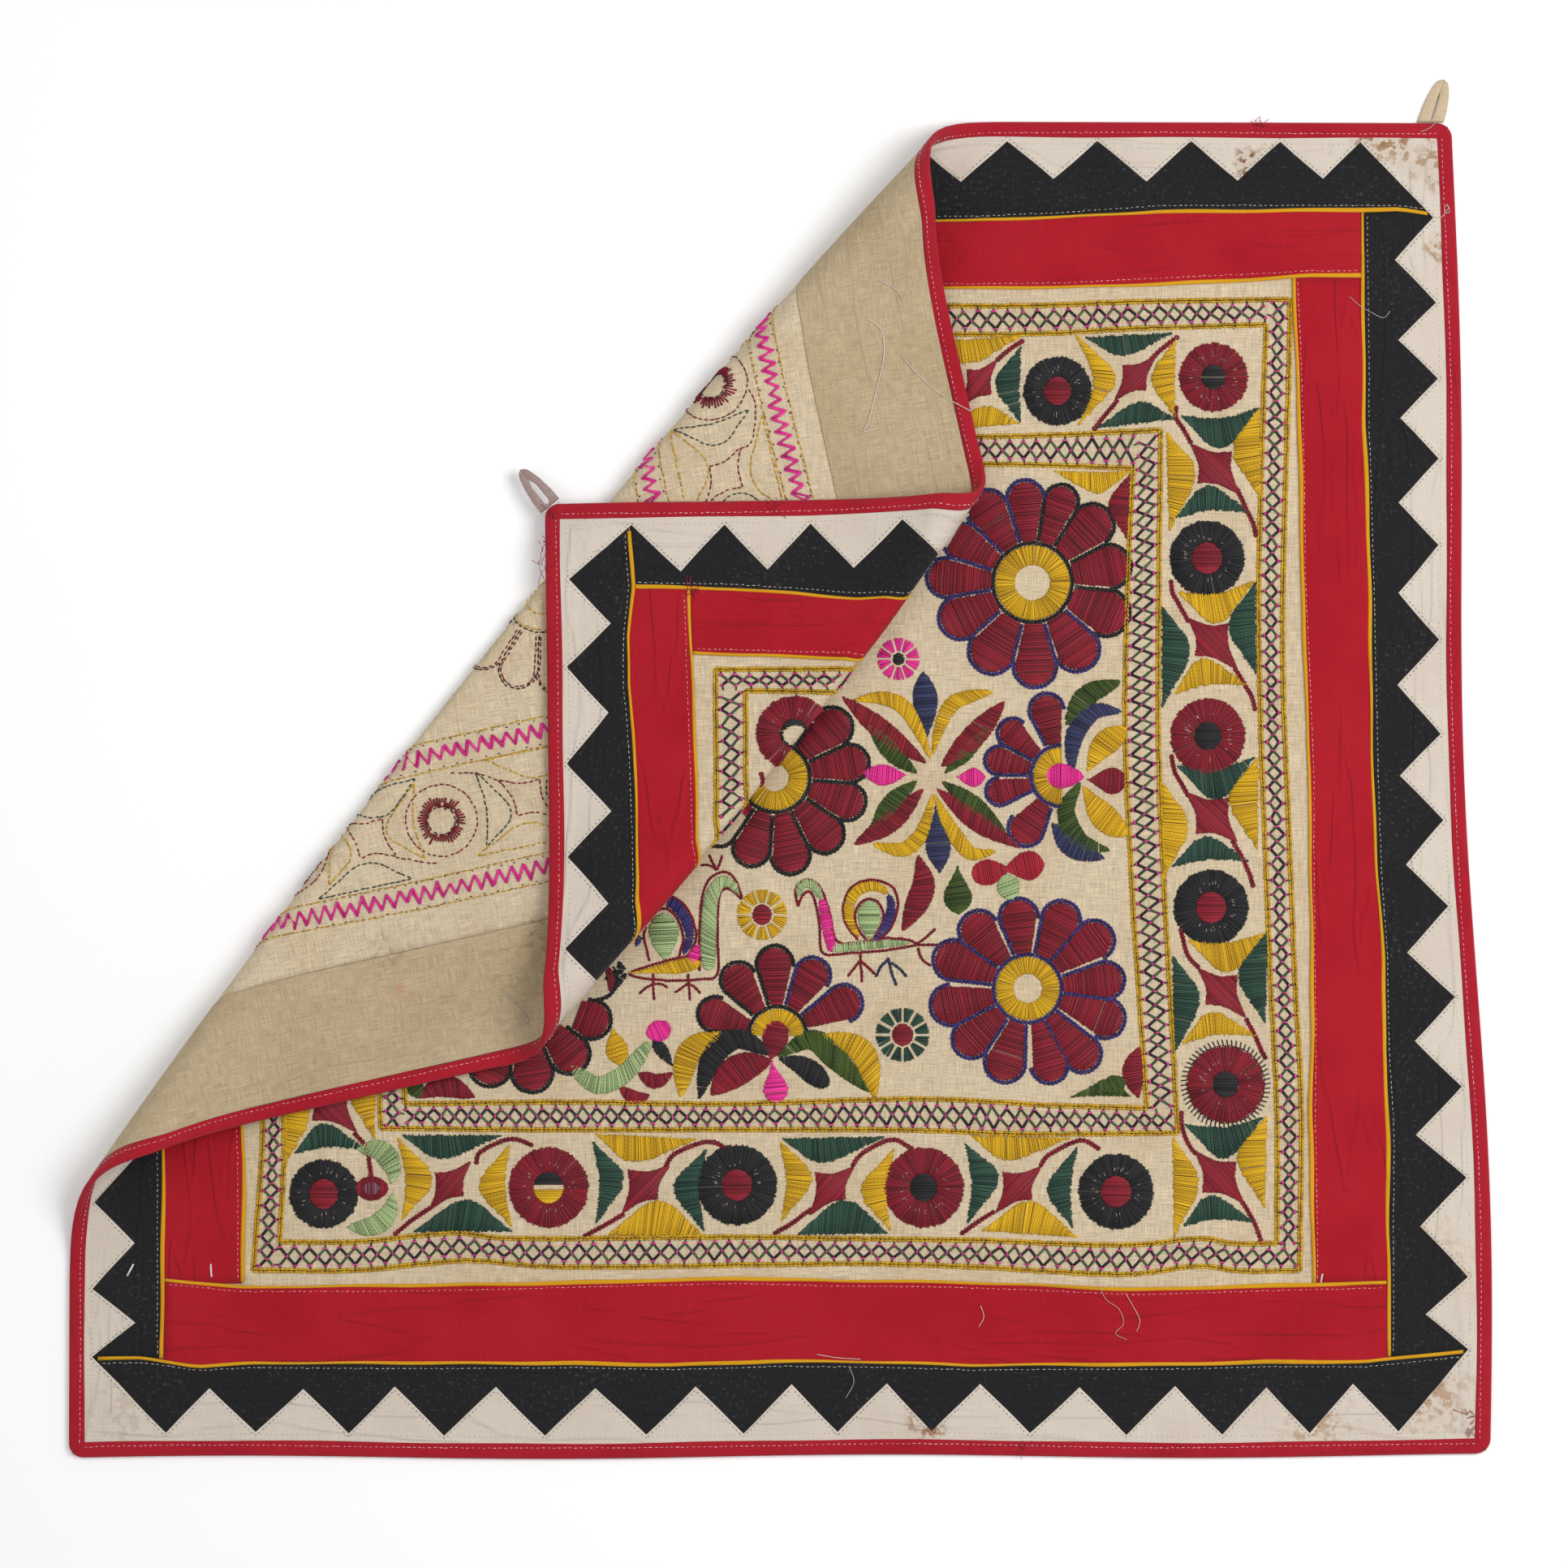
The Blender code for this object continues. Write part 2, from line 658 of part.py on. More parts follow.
def black_ends(side, inner):
    """Gives the inner corners of a black band, each measured from its own end."""
    first, last, _count = SIDES[side]["teeth"]
    own = (first, side_length(side) - last)
    result = []
    for other, runs_on, tooth in zip(neighbours(side), SIDES[side]["runs_on"], own):
        if runs_on:
            share = (SIDES[side]["black"] - inner) / (SIDES[side]["black"] - TOOTH_TIP)
            result.append((TOOTH_TIP + (tooth - TOOTH_TIP) * share + GAP, inner))
        else:
            result.append((SIDES[other]["black"] + GAP / 2, inner))
    return result


def add_red_bands_and_piping():
    """Makes the red bands and the yellow piping at the inner edge of the black and red."""
    tips, black, red = even_ring(TOOTH_TIP + PIPING_WIDTH), ring("black"), ring("red")
    edge = ring("red", -PIPING_WIDTH - GAP / 2)
    add_strips("red_band", "red", black, red, BAND_BOTTOM, BAND_TOP, far=edge)
    for name, outer, inner in (("black", tips, black), ("red", black, red)):
        near = ring(name, -PIPING_WIDTH - GAP / 2)
        add_strips(f"piping_{name}", "yellow", outer, inner, BAND_BOTTOM, PIPING_TOP, near=near)


def add_binding():
    """Makes the binding of each side: a strip folded over the edge, with a leg on each face."""
    spans = {0: ((0.0, BINDING_TOP),), 1: ((0.0, CLOTH_TOP), (BINDING_SLOT_TOP, BINDING_TOP))}
    for side in SIDE_ORDER:
        far = side_length(side) - BINDING_WIDTH
        lines = [
            rounded_edge(side, 0.0),
            rounded_edge(side, BINDING_WALL),
            [(BINDING_WIDTH, BINDING_WIDTH), (far, BINDING_WIDTH)],
        ]
        outer, wall, inner = (
            filled_points(on_side(side, mitred(line)).tolist(), closed=False) for line in lines
        )
        folded_edge = (lie_flat(outer + wall[::-1]), 0)
        legs = (lie_flat(wall + inner[::-1]), 1)
        thicken(f"binding_{side}", "binding", cut_sheet([folded_edge, legs]), spans)


def loop_place(loop, share, half):
    """Gives the place at a share of a loop's length and a distance from its middle line.

    The way across turns from the edge of the cloth to square on the tip.
    """
    way = np.array(loop["tip_way"]) / np.linalg.norm(loop["tip_way"])
    across = np.array(loop["root_across"]) * (1 - share) + np.array((way[1], -way[0])) * share
    return np.array(loop["root"]) + way * share * loop["length"] + across * half


def loop_slit(loop):
    """Gives the slit's half width at shares of the length, narrowing to nothing at its end."""
    start = LOOP_ROOT_LENGTH / loop["length"]
    return [
        (
            start + (LOOP_SLIT_END - start) * share,
            loop["half_slit"] * min(1.0, (1 - share) / LOOP_SLIT_TAPER),
        )
        for share, _width in LOOP_OUTLINE
    ]


def add_loops():
    """Makes the two hanging loops: a tape folded to a point, its legs a slit apart."""
    for name, loop in LOOPS.items():
        edge = [(share, width * loop["half_width"]) for share, width in LOOP_OUTLINE]
        slit = loop_slit(loop)
        outlines = []
        for hand in (1, -1):
            for part_edge, part_slit in zip(zip(edge, edge[1:]), zip(slit, slit[1:])):
                ring_of_corners = (*part_edge, *part_slit[::-1])
                corners = [loop_place(loop, share, hand * half) for share, half in ring_of_corners]
                outlines.append((corners[::hand], 0))
        (root_share, root_half), (slit_share, slit_half) = edge[0], slit[0]
        root = [(root_share, -root_half), (root_share, root_half)]
        root += [(slit_share, slit_half), (slit_share, -slit_half)]
        outlines.append(([loop_place(loop, share, half) for share, half in root], 0))
        thicken(name, "tape", cut_sheet(outlines), {0: ((0.0, loop["thickness"]),)})


def build():
    """Builds the whole hanging."""
    clear_objects()
    add_ground_and_backing()
    add_red_bands_and_piping()
    add_toothed_edge()
    add_binding()
    add_loops()


build()
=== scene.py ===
"""Looks of the folded embroidered wall hanging: cloths, bands, binding and hand embroidery."""

import logging
import math
from collections.abc import Callable, Iterable, Sequence
from dataclasses import dataclass, field
from enum import Enum
from functools import cache
from typing import Any

import bmesh
import bpy
import numpy as np
from numpy.typing import ArrayLike, NDArray
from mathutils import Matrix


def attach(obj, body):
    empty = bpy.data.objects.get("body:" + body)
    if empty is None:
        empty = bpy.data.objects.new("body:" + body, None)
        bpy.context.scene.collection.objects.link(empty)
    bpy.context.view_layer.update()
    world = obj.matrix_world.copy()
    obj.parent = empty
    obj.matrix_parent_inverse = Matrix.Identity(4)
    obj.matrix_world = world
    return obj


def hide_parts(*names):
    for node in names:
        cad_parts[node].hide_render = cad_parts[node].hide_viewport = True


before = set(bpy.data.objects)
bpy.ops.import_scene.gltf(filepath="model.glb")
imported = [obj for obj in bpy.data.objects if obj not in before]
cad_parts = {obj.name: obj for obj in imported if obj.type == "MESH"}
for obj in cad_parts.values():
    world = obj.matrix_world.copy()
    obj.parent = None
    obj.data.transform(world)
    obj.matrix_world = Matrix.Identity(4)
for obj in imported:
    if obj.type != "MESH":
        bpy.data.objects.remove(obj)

Array = NDArray[np.float64]
Depths = Callable[[Array], Array]
Colour = tuple[int, int, int]
Spot = tuple[float, float]
Spots = tuple[Spot, ...]

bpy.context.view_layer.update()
LOG = logging.getLogger("hanging")

# Lengths are in mm, and MM turns them into metres. The stains' height is in metres already.
MM = 0.001
STAIN_HEIGHT = 0.003

# Heights over the back of the flat cloth.
CLOTH_TOP = 1.2
SATIN_TOP = 1.75

# Depths from the edge of the hanging: the outer edges of the lining and of the black cloth, and
# the end of the black piping in a corner that it runs through.
LINING_EDGE = 9.65
BLACK_EDGE = 12.5
CORNER_PIPING = 17.35

# The gap between neighbouring strips, how many close steps of a grid make a wide one, and the
# drift of an edge that has none.
GAP = 0.15
WIDER = 2.1
STRAIGHT: Spots = ((0.0, 0.0),)


class Side(Enum):
    """The four sides of the hanging, in order against the clock."""

    BOTTOM = "bottom"
    RIGHT = "right"
    TOP = "top"
    LEFT = "left"

    def place(self) -> int:
        """Gives the side's place in the order."""
        return list(Side).index(self)

    def neighbours(self) -> tuple["Side", "Side"]:
        """Gives the sides before and after this one."""
        order = list(Side)
        return order[self.place() - 1], order[(self.place() + 1) % len(order)]


@dataclass(frozen=True)
class Band:
    """Widths of the borders on one side, in mm from the edge of the cloth.

    Args:
        black: depth of the black band's inner edge.
        red: depth of the red band's inner edge.
        teeth: place of the first and of the last tooth along the side, and their number.
        runs_on: whether the bands run through the corner at the start and at the end.
        joined: depth to which the lining strip behind the bands reaches.
        black_drift: (place along, extra depth) of the black band's inner edge.
        red_drift: the same of the red band's.
        tooth_drift: (place along, shift along) of the teeth from even places.
        tip: depth at which the black points end.
        valley: depth at which the white points end.
        tip_drift: (place along, extra depth) of the black points.
        valley_drift: the same of the white points.
    """

    black: float
    red: float
    teeth: tuple[float, float, int]
    runs_on: tuple[bool, bool]
    joined: float
    black_drift: Spots
    red_drift: Spots
    tooth_drift: Spots
    tip: float = 14.5
    valley: float = 39.5
    tip_drift: Spots = STRAIGHT
    valley_drift: Spots = STRAIGHT

    def tips(self) -> list[Spot]:
        """Gives the black points of the teeth, each as (along, depth)."""
        first, last, count = self.teeth
        even = np.linspace(first, last, count)
        places, shifts = np.array(self.tooth_drift).T
        places = even + np.interp(even, places, shifts)
        return list(zip(places.tolist(), self.edge("tip", places).tolist()))

    def edge(self, name: str, along: Array) -> Array:
        """Gives a depth at places along the side: the named value plus its drift there."""
        places, extra = np.array(getattr(self, f"{name}_drift")).T
        return getattr(self, name) + np.interp(along, places, extra)


BANDS = {
    Side.BOTTOM: Band(
        black=58.5,
        red=105.0,
        teeth=(59.0, 805.0, 14),
        runs_on=(True, True),
        joined=99.0,
        black_drift=(
            (15, 3.3), (45, 3.3), (78, -2), (110, 0), (306, 1.7), (366, 0.2), (426, 1.2), (546, -2),
            (606, 0), (726, 1.5), (786, 0.3), (846, 6.2),
        ),
        red_drift=(
            (57, 5), (105, 0), (226, 2.2), (346, 5.5), (406, 6), (466, 3.2), (586, 1.7), (646, 0),
            (706, 1.5), (806, 2.4),
        ),
        tooth_drift=(
            (58, 0), (116, -3), (175, -4), (233, -3.5), (291, 0.5), (349, 4.5), (407, 6), (524, 5),
            (583, 7.5), (641, 8.5), (699, 9.2), (757, 3.8), (800, 1),
        ),
        valley=43.0,
        valley_drift=((0, -1), (200, 0), (700, 1.5), (860, 1)),
    ),
    Side.RIGHT: Band(
        black=54.0,
        red=93.0,
        teeth=(112.5, 713.0, 12),
        runs_on=(False, False),
        joined=87.0,
        black_drift=(
            (0, 10), (85, 9.5), (140, 9.7), (196, 7.2), (251, 6.8), (306, 3.9), (361, 4.7), (471, 3.5),
            (527, 4.2), (637, 8.2), (692, 7), (747, 5.7), (800, 3),
        ),
        red_drift=(
            (0, 16), (155, 15.5), (211, 14.5), (266, 10.6), (321, 8), (423, 4), (486, 5), (542, 7.3),
            (652, 9.3), (707, 10), (740, 10),
        ),
        tooth_drift=(
            (112, -3.2), (166, 3.5), (220, 5.2), (274, 6), (329, 7.5), (384, 6), (439, 4.5), (494, 8.2),
            (548, 12.2), (602, 11), (657, 5.8), (711, -2),
        ),
        valley_drift=((85, 2), (140, 4.5), (220, 3), (330, 0.5), (600, 0)),
    ),
    Side.TOP: Band(
        black=56.0,
        red=98.0,
        teeth=(56.5, 749.0, 13),
        runs_on=(True, False),
        joined=92.0,
        black_drift=(
            (12, 2.5), (35, -1), (95, -0.8), (185, 0), (245, 4), (305, 6.5), (500, 7), (667, 6.7),
            (707, 2), (747, -1), (807, -3),
        ),
        red_drift=(
            (65, -2.7), (95, -2.5), (125, -0.5), (185, 2.5), (245, 5.2), (305, 6), (500, 5), (676, 1),
            (726, -2), (781, -4.5),
        ),
        tooth_drift=(
            (57, 1), (113, -6.7), (170, -8.7), (226, -7.5), (284, -9.2), (450, 0), (600, 4), (703, 5.2),
            (740, 1),
        ),
        tip_drift=((40, -2.5), (300, -2.5), (500, 0)),
        valley_drift=((40, -3.5), (250, -2.5), (450, 1), (600, 4), (750, 3)),
    ),
    Side.LEFT: Band(
        black=54.5,
        red=88.0,
        teeth=(46.5, 715.0, 13),
        runs_on=(True, False),
        joined=82.0,
        black_drift=(
            (22, -0.5), (52, 1.2), (82, -2.6), (112, -3), (142, -0.2), (232, 2.9), (647, 3.6), (747, 3.2),
        ),
        red_drift=((60, 2), (100, 2.8), (215, 6.4), (400, 9), (640, 19), (740, 18.5)),
        tooth_drift=((46, 0), (104, -2.2), (160, 1.7), (215, 3.2), (245, 5), (662, 4), (716, 3.5)),
        tip_drift=((60, 0), (110, -2.5), (250, -2.5), (600, -1), (715, 0)),
        valley_drift=((60, 0), (110, -1.5), (600, 0)),
    ),
}


@dataclass(frozen=True)
class Fold:
    """One soft fold of the cloth, all lengths in mm.

    Args:
        point: a place on its mirror line.
        angle: direction of the line in degrees.
        radius: the bend's least radius.
        middle: place along the line where the radius is least.
        growth_up: growth of the radius with the square of the distance past the middle.
        growth_down: the same before the middle.
        reach: distance from the middle at which the growth ends.
        lift: turn past half a turn in radians.
        lift_by_radius: how much more that turn is for each mm of radius.
        rest: height at which the cloth comes to rest.
    """

    point: Spot
    angle: float
    radius: float
    middle: float
    growth_up: float
    growth_down: float
    reach: float
    lift: float
    lift_by_radius: float
    rest: float

    def axes(self) -> tuple[Array, Array, Array]:
        """Gives the mirror line's point, its direction and the way to the top left."""
        turn = math.radians(self.angle)
        along = np.array([math.cos(turn), math.sin(turn)])
        outward = np.array([-math.sin(turn), math.cos(turn)])
        return np.array(self.point), along, outward

    def sizes(self, place: Array) -> tuple[Array, Array, Array, Array]:
        """Works out the bend at places along the mirror line.

        The radius grows with the square of the distance from the middle; the wide arc that
        follows ends level at the rest height.

        Args:
            place: distances along the line in mm.

        Returns:
            The radius, the turn past half a turn, the wide arc's radius, and the distance
            from the start of the bend to the mirror line.
        """
        offset = np.clip(place - self.middle, -self.reach, self.reach)
        growth = np.where(offset > 0, self.growth_up, self.growth_down)
        radius = self.radius + growth * offset**2
        extra = self.lift + self.lift_by_radius * radius
        wide = (radius * (1 + np.cos(extra)) - self.rest) / (1 - np.cos(extra))
        path = (math.pi + extra) * radius + wide * extra
        reach = -(radius + wide) * np.sin(extra)
        return radius, extra, wide, (path + reach) / 2

    @staticmethod
    def bend(path: Array, sizes: tuple[Array, ...]) -> tuple[Array, Array, Array]:
        """Follows the bend for a length of cloth.

        A circle arc of half a turn and a little more is followed by a wide arc that turns
        that little back, and then by a straight run.

        Args:
            path: length of cloth from the start of the bend in mm.
            sizes: the bend's radius, extra turn and wide arc's radius.

        Returns:
            The distance out, the height and the turn.
        """
        radius, extra, wide = sizes[:3]
        first = (math.pi + extra) * radius
        turn_out = np.clip(path, 0, first) / radius
        turn_back = np.clip(path - first, 0, wide * extra) / wide
        after = np.maximum(path - first - wide * extra, 0)
        out = np.minimum(path, 0) + radius * np.sin(turn_out) - after
        out = out + wide * (np.sin(math.pi + extra) - np.sin(math.pi + extra - turn_back))
        high = radius * (1 - np.cos(turn_out))
        high = high + wide * (np.cos(math.pi + extra - turn_back) - np.cos(math.pi + extra))
        return out, high, turn_out - turn_back


@dataclass(frozen=True)
class Crease:
    """A soft ridge where the hanging was once folded or pulls at a seam.

    Args:
        start: one end of the ridge on the floor in mm.
        end: its other end.
        width: distance over which it fades to the sides in mm.
        height: how far the cloth rises on it in mm.
    """

    start: Spot
    end: Spot
    width: float
    height: float

    def rise(self, places: Array) -> Array:
        """Gives the ridge's height: a bell curve of the distance to its line, faded at the ends."""
        start, end = np.array(self.start), np.array(self.end)
        way = end - start
        share = ((places - start) @ way) / (way @ way)
        near = start + np.clip(share, 0, 1)[..., None] * way
        distance = np.linalg.norm(places - near, axis=-1)
        fade = np.clip(4 * share * (1 - share), 0.15, 1)
        return self.height * fade * np.exp(-((distance / self.width) ** 2))


@dataclass(frozen=True)
class Hanging:
    """The whole cloth: its flat outline, its two folds and the creases it lies in, in mm.

    Args:
        width: width of the true rectangle.
        height: its height.
        bottom_left: place of this corner on the uneven flat cloth.
        bottom_right: the same of this corner.
        top_left: the same of the corner that is folded over.
        top_right: the same of the corner with the right loop.
        right_wave: height and number of the right edge's sine waves.
        bottom_wave: the same of the bottom edge's.
        origin: the place on the floor that becomes the frame's origin.
        droop: how far the free corner sinks, and over what distance.
        over: the fold that turns the corner over.
        back: the fold that turns the corner's tip up again.
        creases: the ridges.
    """

    width: float = 862.0
    height: float = 822.0
    bottom_left: Spot = (-437.2, -424.5)
    bottom_right: Spot = (438.2, -423.0)
    top_left: Spot = (-434.2, 400.0)
    top_right: Spot = (414.2, 397.5)
    right_wave: Spot = (4.6, 1.37)
    bottom_wave: Spot = (1.2, 2.2)
    origin: Spot = (1.0, -0.55)
    droop: Spot = (9.0, 28.0)
    over: Fold = Fold(
        point=(-180.5, 76.25),
        angle=51.3,
        radius=5.5,
        middle=-15.0,
        growth_up=1.12e-4,
        growth_down=1.05e-4,
        reach=415.0,
        lift=0.10,
        lift_by_radius=0.026,
        rest=9.8,
    )
    back: Fold = Fold(
        point=(23.5, 30.9),
        angle=51.8,
        radius=4.0,
        middle=0.0,
        growth_up=3.2e-4,
        growth_down=1.9e-4,
        reach=240.0,
        lift=0.10,
        lift_by_radius=0.03,
        rest=2.2,
    )
    creases: tuple[Crease, ...] = (
        Crease((372, 300), (398, -330), 9, 0.7),
        Crease((345, 380), (350, 120), 14, 0.5),
        Crease((-380, -372), (330, -365), 12, 0.6),
        Crease((-60, -330), (40, -424), 16, 0.9),
        Crease((210, -320), (260, -424), 13, 0.8),
        Crease((-250, -330), (-300, -424), 14, 0.8),
        Crease((330, -60), (437, -110), 15, 0.9),
        Crease((325, 180), (425, 205), 14, 0.8),
        Crease((-330, -210), (-434, -250), 14, 0.7),
        Crease((-200, -120), (230, 40), 34, 0.7),
        Crease((-230, -300), (-40, -60), 30, 0.6),
        Crease((120, -280), (300, -120), 34, 0.6),
        Crease((180, 300), (300, 80), 30, 0.6),
        Crease((402, -250), (438, -424), 10, 1.1),
        Crease((120, 396), (128, 330), 10, 0.7),
        Crease((280, 396), (262, 322), 11, 0.8),
    )

    def lie_flat(self, places: Array) -> Array:
        """Moves places of the true rectangle to where the uneven cloth has them.

        The four corners are spread bilinearly, and the right and bottom edges wave by a
        sine that fades towards the opposite edge.

        Args:
            places: (..., 2) places on the rectangle in mm.

        Returns:
            The places on the flat cloth in mm.
        """
        across = (places[..., :1] + self.width / 2) / self.width
        up = (places[..., 1:] + self.height / 2) / self.height
        low = np.array(self.bottom_left) * (1 - across) + np.array(self.bottom_right) * across
        high = np.array(self.top_left) * (1 - across) + np.array(self.top_right) * across
        flat = low * (1 - up) + high * up
        size, waves = self.right_wave
        flat[..., :1] += size * np.sin(2 * math.pi * waves * up) * (1 - up**3) * across**2
        size, waves = self.bottom_wave
        flat[..., 1:] += size * np.sin(2 * math.pi * waves * across) * (1 - up)
        return flat

    def on_side(self, side: Side, along: Array, depth: Array) -> Array:
        """Turns places along a side and depths from its edge into places on the flat cloth."""
        half_width, half_height = self.width / 2, self.height / 2
        ways = {
            Side.BOTTOM: (along - half_width, depth - half_height),
            Side.RIGHT: (half_width - depth, along - half_height),
            Side.TOP: (half_width - along, half_height - depth),
            Side.LEFT: (depth - half_width, half_height - along),
        }
        return self.lie_flat(np.stack(ways[side], axis=-1))

    def length(self, side: Side) -> float:
        """Gives the length of one side of the rectangle."""
        return self.width if side in (Side.BOTTOM, Side.TOP) else self.height

    def upper_surface(self, place: Array, out: Array) -> Array:
        """Gives the height that the corner lies on: the first bend, then its slope, then rest.

        Over the bend it is the top of the circle, then the wide arc, then the rest height;
        past the bend's crown the free corner droops.
        """
        radius, extra, wide, half = self.over.sizes(place)
        out = out + half
        crown_end = -radius * np.sin(extra)
        slope_end = crown_end - wide * np.sin(extra)
        circle = radius + np.sqrt(np.maximum(radius**2 - out**2, 0))
        slope = self.over.rest + wide
        slope = slope - np.sqrt(np.maximum(wide**2 - (out - slope_end) ** 2, 0))
        drop, reach = self.droop
        free = 2 * radius - drop * out**2 / (out**2 + reach**2)
        chosen = [out > 0, out > crown_end, out > slope_end]
        return np.select(chosen, [free, circle, slope], np.full_like(out, self.over.rest))

    def fold(self, flat: Array, height: ArrayLike) -> Array:
        """Bends places of the flat cloth, at a height over its back, through both folds.

        Args:
            flat: (..., 2) places on the flat cloth in mm.
            height: heights over the cloth's back in mm.

        Returns:
            (..., 3) points in metres.
        """
        shape = flat.shape[:-1]
        height = np.broadcast_to(np.asarray(height, dtype=float), shape).reshape(-1)
        flat = flat.reshape(-1, 2)
        point, along, outward = self.over.axes()
        place, beyond = (flat - point) @ along, (flat - point) @ outward
        sizes = self.over.sizes(place)
        out, high, turn = Fold.bend(beyond + sizes[3], sizes)
        shift = out - sizes[3] - height * np.sin(turn)
        plan = point + np.outer(place, along) + np.outer(shift, outward)
        level = high + height * np.cos(turn)

        mirrored = point + np.outer(place, along) - np.outer(beyond, outward)
        back_point, back_along, back_outward = self.back.axes()
        back_place = (mirrored - back_point) @ back_along
        back_beyond = -(mirrored - back_point) @ back_outward
        sizes = self.back.sizes(back_place)
        out, high, turn = Fold.bend(back_beyond + sizes[3], sizes)
        inward = sizes[3] - out
        back_plan = back_point + np.outer(back_place, back_along)
        under = back_plan + np.outer(inward, back_outward)
        carried = self.upper_surface((under - point) @ along, (under - point) @ outward)
        back_plan += np.outer(inward - height * np.sin(turn), back_outward)
        back_level = carried + high - height * np.cos(turn)

        turned = (back_beyond + sizes[3] > 0) & (beyond > 0)
        plan = np.where(turned[:, None], back_plan, plan) - np.array(self.origin)
        level = np.where(turned, back_level, level)
        for crease in self.creases:
            level = level + crease.rise(plan)
        return (np.column_stack([plan, level]) * MM).reshape(*shape, 3)

    def inside(self, flat: Array, margin: float) -> Array:
        """Tells which flat places are within the cloth, at least a margin from its edges."""
        low = np.array(self.bottom_left) + margin
        high = np.array([self.bottom_right[0] - 12, self.top_left[1]]) - margin
        return ((flat > low) & (flat < high)).all(axis=-1)

    def mirrors(self, flat: Array) -> tuple[Array, Array, Array]:
        """Gives how far flat places lie past the first fold, past the second, and the mirror image."""
        point, _along, outward = self.over.axes()
        beyond = (flat - point) @ outward
        mirrored = flat - 2 * beyond[..., None] * outward
        back_point, _back_along, back_outward = self.back.axes()
        return beyond, -(mirrored - back_point) @ back_outward, mirrored

    def front_shows(self, flat: Array) -> Array:
        """Tells which places of the front can be seen, so nothing is sewn inside the folds.

        The margins, in mm, keep the stitches that show at the edge of a fold.
        """
        beyond, past, mirrored = self.mirrors(flat)
        covered = self.inside(mirrored, 16.0) & (self.mirrors(mirrored)[1] < -3)
        return np.where(beyond > 6, past > -14, ~covered | (beyond > -24))

    def back_shows(self, flat: Array) -> Array:
        """Tells which places of the back can be seen on the folded corner, with such margins."""
        beyond, past, mirrored = self.mirrors(flat)
        again = mirrored + 2 * past[..., None] * self.back.axes()[2]
        covered = self.inside(self.mirrors(again)[2], 16.0)
        return (beyond > -12) & (past < 10) & (~covered | (past > -16))


CLOTH = Hanging()


def drawn(spots: ArrayLike) -> Array:
    """Turns places of the layout, in half millimetres right and down, into flat mm."""
    spots = np.asarray(spots, dtype=float)
    return np.stack([(spots[..., 0] - 959.5) / 2, (947.0 - spots[..., 1]) / 2], axis=-1)


def ripple(places: Array, length: float, seed: int) -> Array:
    """Gives a soft unevenness between -1 and 1: six sine waves of about the given length."""
    rng = np.random.default_rng(seed)
    turns = rng.uniform(0, 2 * math.pi, 6)
    counts = rng.uniform(0.6, 1.7, 6) * 2 * math.pi / length
    ways = np.stack([np.cos(turns), np.sin(turns)]) * counts
    return np.sin(places @ ways + rng.uniform(0, 2 * math.pi, 6)).mean(axis=-1)


def smooth_line(spots: ArrayLike, steps: int = 10) -> Array:
    """Gives a Catmull-Rom curve through (n, 2) places, with some points for each stretch."""
    spots = np.asarray(spots, dtype=float)
    padded = np.vstack([2 * spots[0] - spots[1], spots, 2 * spots[-1] - spots[-2]])
    a, b, c, d = (padded[i : len(padded) - 3 + i, None] for i in range(4))
    t = (np.arange(steps) / steps)[None, :, None]
    curve = 2 * b + (c - a) * t + (2 * a - 5 * b + 4 * c - d) * t**2
    curve = (curve + (3 * b - a - 3 * c + d) * t**3) / 2
    return np.vstack([curve.reshape(-1, 2), padded[-2:-1]])


def measured(line: Array) -> Array:
    """Gives the length along a line at each of its points."""
    steps = np.linalg.norm(np.diff(line, axis=0), axis=1)
    return np.concatenate([[0.0], np.cumsum(steps)])


def places_along(line: Array, shares: Array) -> Array:
    """Gives the places at shares of a line's length."""
    lengths = measured(line)
    wanted = np.clip(shares, 0, 1) * lengths[-1]
    return np.stack([np.interp(wanted, lengths, line[:, i]) for i in (0, 1)], axis=-1)


def ways_at(angles: Array) -> Array:
    """Gives the unit vectors at angles in radians."""
    return np.stack([np.cos(angles), np.sin(angles)], axis=-1)


def to_left(ways: Array) -> Array:
    """Gives directions turned a quarter turn to the left."""
    return np.stack([-ways[..., 1], ways[..., 0]], axis=-1)


def circle(centre: Spot, radius: float, start: float = 0.0, turn: float = 360.0) -> Array:
    """Gives an arc round a centre, from a start angle over a turn, in degrees."""
    angles = np.radians(start + np.linspace(0, turn, max(8, int(abs(turn) / 8))))
    return np.array(centre) + radius * ways_at(angles)


def linear(colour: Colour) -> tuple[float, float, float, float]:
    """Turns a colour as seen on screen, 0 to 255, into the linear one of a shader."""
    shares = np.array(colour) / 255
    values = np.where(shares <= 0.04045, shares / 12.92, ((shares + 0.055) / 1.055) ** 2.4)
    return (*values.tolist(), 1.0)


